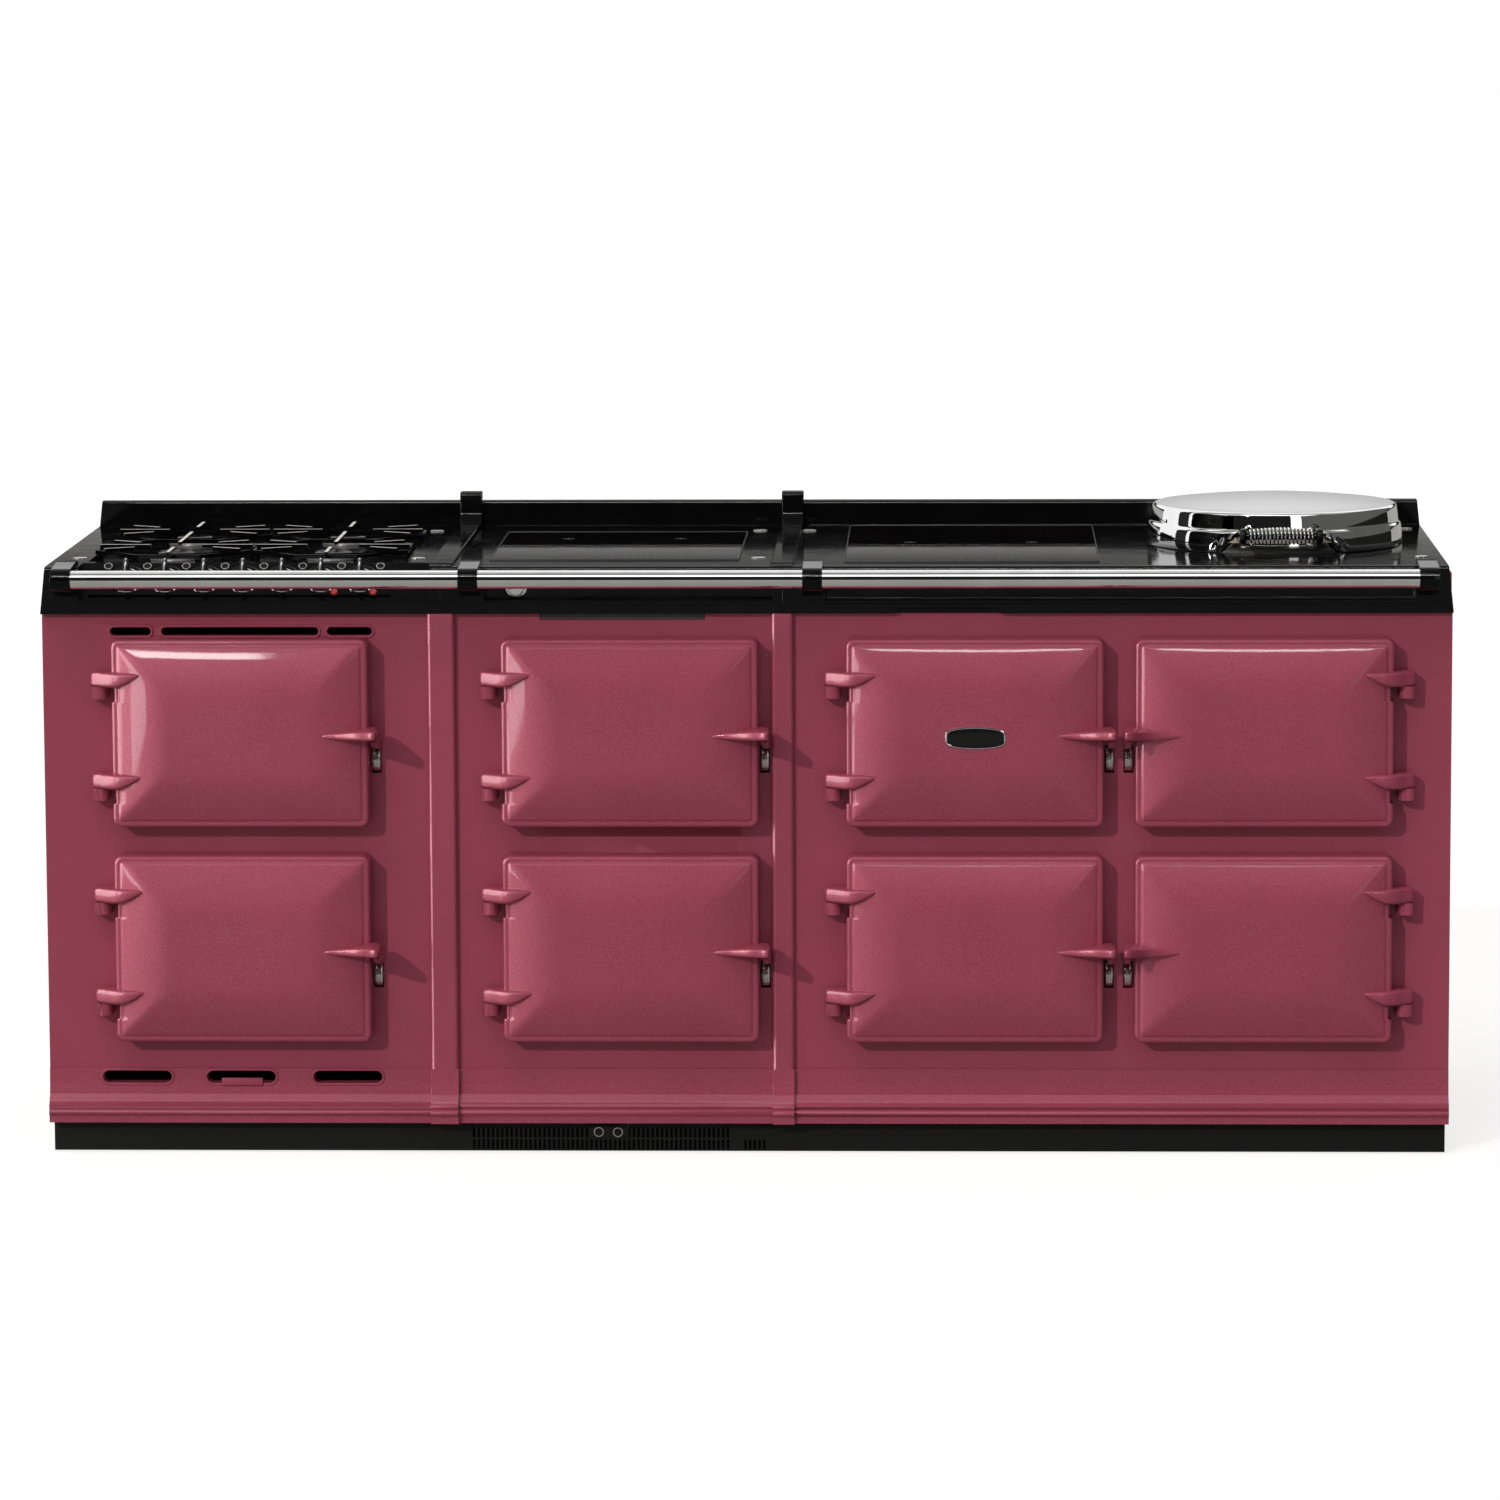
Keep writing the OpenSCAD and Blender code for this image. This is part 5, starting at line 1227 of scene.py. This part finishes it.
def bead(bm, outline, radius, place, sides=8):
    """A round bead along a closed outline; outline(grow) gives its points, grown by a distance."""
    loops = []
    for k in range(sides):
        angle = 2 * math.pi * k / sides
        loops.append([bm.verts.new(place(a, b, radius * math.sin(angle)))
                      for a, b in outline(radius * math.cos(angle))])
    edges = [[bm.edges.new((loop[k], loop[(k + 1) % len(loop)])) for k in range(len(loop))] for loop in loops]
    for k in range(sides):
        bmesh.ops.bridge_loops(bm, edges=edges[k] + edges[(k + 1) % sides])


def stadium(low, high, grow=0.0, steps=8):
    """Points round a slot with round ends."""
    middle, radius = (low[1] + high[1]) / 2, (high[1] - low[1]) / 2
    reach = radius + grow
    points = []
    for centre, start in ((high[0] - radius, -90), (low[0] + radius, 90)):
        for k in range(steps + 1):
            angle = math.radians(start + 180 * k / steps)
            points.append((centre + reach * math.cos(angle), middle + reach * math.sin(angle)))
    return points


def slot_rims():
    """The rounded lips round the vents and round the slots of the left skirt, and the tab in one of them."""
    bm = bmesh.new()
    openings = [(start, length, VENT_Z, VENT_OUT) for start, length in VENTS]
    openings += [(start, length, SLOT_Z, SLOT_OUT) for start, length in SLOTS]
    for start, length, (foot, top), out in openings:
        def outline(grow, start=start, end=start + length, foot=foot, top=top):
            low = (SIDES[0] + start - LIP_R, foot - LIP_R)
            high = (SIDES[0] + end + LIP_R, top + LIP_R)
            return stadium(low, high, grow)

        def place(across, up, ahead, out=out):
            return Vector((across, FACE_Y - out - ahead, up))

        gathered(bm, shell_part(bead, outline, LIP_R, place))
    tab = SIDES[0] + TAB_X
    gathered(bm, shell_part(block, (tab, FACE_Y - 8.6, 103), (tab + TAB_W, FACE_Y - 3, 114), 0.8, 2))
    placed(bm, "slot_rims", ENAMEL, COOKER, "enamel", sharp=50)


def bosses():
    """Shallow oval bosses on the hob plates, in pale steel as a painted highlight for the light edges of
    black enamel bosses.
    """
    for number, (x, y) in enumerate(BOSS_PLACES, 1):
        bm = bmesh.new()
        turned(bm, BOSS, 40)
        bmesh.ops.transform(bm, matrix=Matrix.Diagonal((1, BOSS_OVAL, 1, 1)), verts=bm.verts)
        bmesh.ops.translate(bm, verts=bm.verts, vec=(x, y, HOB_Z))
        # Pale steel in place of black enamel: a painted highlight
        placed(bm, f"oval_boss_{number}", STEEL, COOKER, "black_enamel")


def glass_edges():
    """Thin edges round the two hob glasses."""
    glass_low, glass_high = box_mm("ceramic_hobs")
    front, right, back = MIDDLE_PANE
    panes = (((glass_low.x, front), (right, back)),
             ((RIGHT_PANE_X, glass_low.y), (glass_high.x, glass_high.y)))
    for number, (low, high) in enumerate(panes, 1):
        bm = bmesh.new()
        for (xa, ya), (xb, yb) in (((low[0] - 1, low[1] - 1), (high[0] + 1, low[1])),
                                   ((low[0] - 1, high[1]), (high[0] + 1, high[1] + 1)),
                                   ((low[0] - 1, low[1]), (low[0], high[1])),
                                   ((high[0], low[1]), (high[0] + 1, high[1]))):
            gathered(bm, shell_part(block, (xa, ya, HOB_Z - 1), (xb, yb, glass_high.z + 0.5), 0.3, 2))
        placed(bm, f"glass_edge_{number}", EDGE_GREY, COOKER, "hob_glass")


def glass_marks():
    """The plain dots of the controls, and a small cross at the middle of each cooking zone."""
    top = box_mm("ceramic_hobs")[1].z
    bm = bmesh.new()
    dots = [(start + (end - start) * k / (count - 1), DOTS_Y)
            for start, end, count in DOT_ROWS for k in range(count)]
    dots += [(320 + 18 * k, -190) for k in range(6)]
    for x, y in dots:
        gathered(bm, shell_part(turned, DOT, 12), Matrix.Translation((x, y, top)))
    for x, y in CROSSES:
        for wide, deep in ((CROSS_REACH, 0.5), (0.5, CROSS_REACH)):
            low, high = (x - wide, y - deep, top - 0.3), (x + wide, y + deep, top + 0.25)
            gathered(bm, shell_part(block, low, high, 0.15, 1))
    placed(bm, "glass_marks", MARK, COOKER, "hob_glass")


def plinth_trim():
    """The dark filter behind the grille, and the plate with two switches."""
    front = box_mm("plinth")[0].y
    bm = bmesh.new()
    block(bm, (SEAMS[0] + 20, front + 8, 1), (SEAMS[1] + 10, front + 10, 42), 0.4, 1)
    placed(bm, "grille_filter", FILTER, COOKER, "plinth")
    bm = bmesh.new()
    block(bm, (-236, front - 1.2, 21.5), (-176, front + 1, 45), 0.8, 2)
    placed(bm, "switch_plate", KNOB_BLACK, COOKER, "plinth")
    for number, (x, z) in enumerate(SWITCH_PLACES, 1):
        bm = bmesh.new()
        turned(bm, SWITCH, 32)
        edged(bm, SWITCH_EDGE)
        leant(bm, math.pi / 2, "X", (x, front - 1, z))
        placed(bm, f"switch_{number}", [KNOB_BLACK, STEEL], COOKER, "plinth")


def slot_mesh():
    """The wire mesh in the wide slot over the middle door, with a plate behind it."""
    start, (foot, top) = SEAMS[0] + MESH_X, MESH_Z
    bm = bmesh.new()
    block(bm, (start + 1, FACE_Y + 3, foot), (start + MESH_L, FACE_Y + 5, top), 0.3, 1)
    for k in range(MESH_WIRES):
        low = (start + 3 + MESH_PITCH * k, FACE_Y + 2, foot)
        high = (start + 3.9 + MESH_PITCH * k, FACE_Y + 3.4, top)
        gathered(bm, shell_part(block, low, high, 0.2, 1))
    for z in (801, 803.4, 805.8):
        low, high = (start + 1, FACE_Y + 1.8, z), (start + MESH_L, FACE_Y + 3.2, z + 0.8)
        gathered(bm, shell_part(block, low, high, 0.2, 1))
    placed(bm, "slot_mesh", MESH, COOKER, "casing")


def joint_clip():
    """The small clip under the lip where the middle and right sections meet."""
    bm = bmesh.new()
    block(bm, (SEAMS[1] - 8, LIP_Y + 33, 810), (SEAMS[1] + 8, LIP_Y + 37, 827), 1.2, 2)
    placed(bm, "joint_clip", BLACK, COOKER, "black_enamel")


# ---- The whole cooker ----

studio()
castings()
for door in DOORS:
    door_casting(door)
    roller(door)
    softened(f"liner_{door}", 1.2, STEEL, "liner_steel", 2)
badge()
lid()
coil()
lid_handle()
hand_rail()
for number in range(1, 8):
    knob(number)
fascia_marks()
dial()
slot_rims()
bosses()
glass_edges()
glass_marks()
plinth_trim()
slot_mesh()
joint_clip()
for node, material in (
        ("lid_liner", WOOL), ("hotplate", IRON), ("control_taps", BRASS), ("gas_pipes", BRASS),
        ("heating_elements", STEEL), ("oven_boxes", OVEN), ("oven_shelves", CHROME),
        ("hinge_pins", PIN_STEEL)):
    dressed(node, material)
reflected_lights()
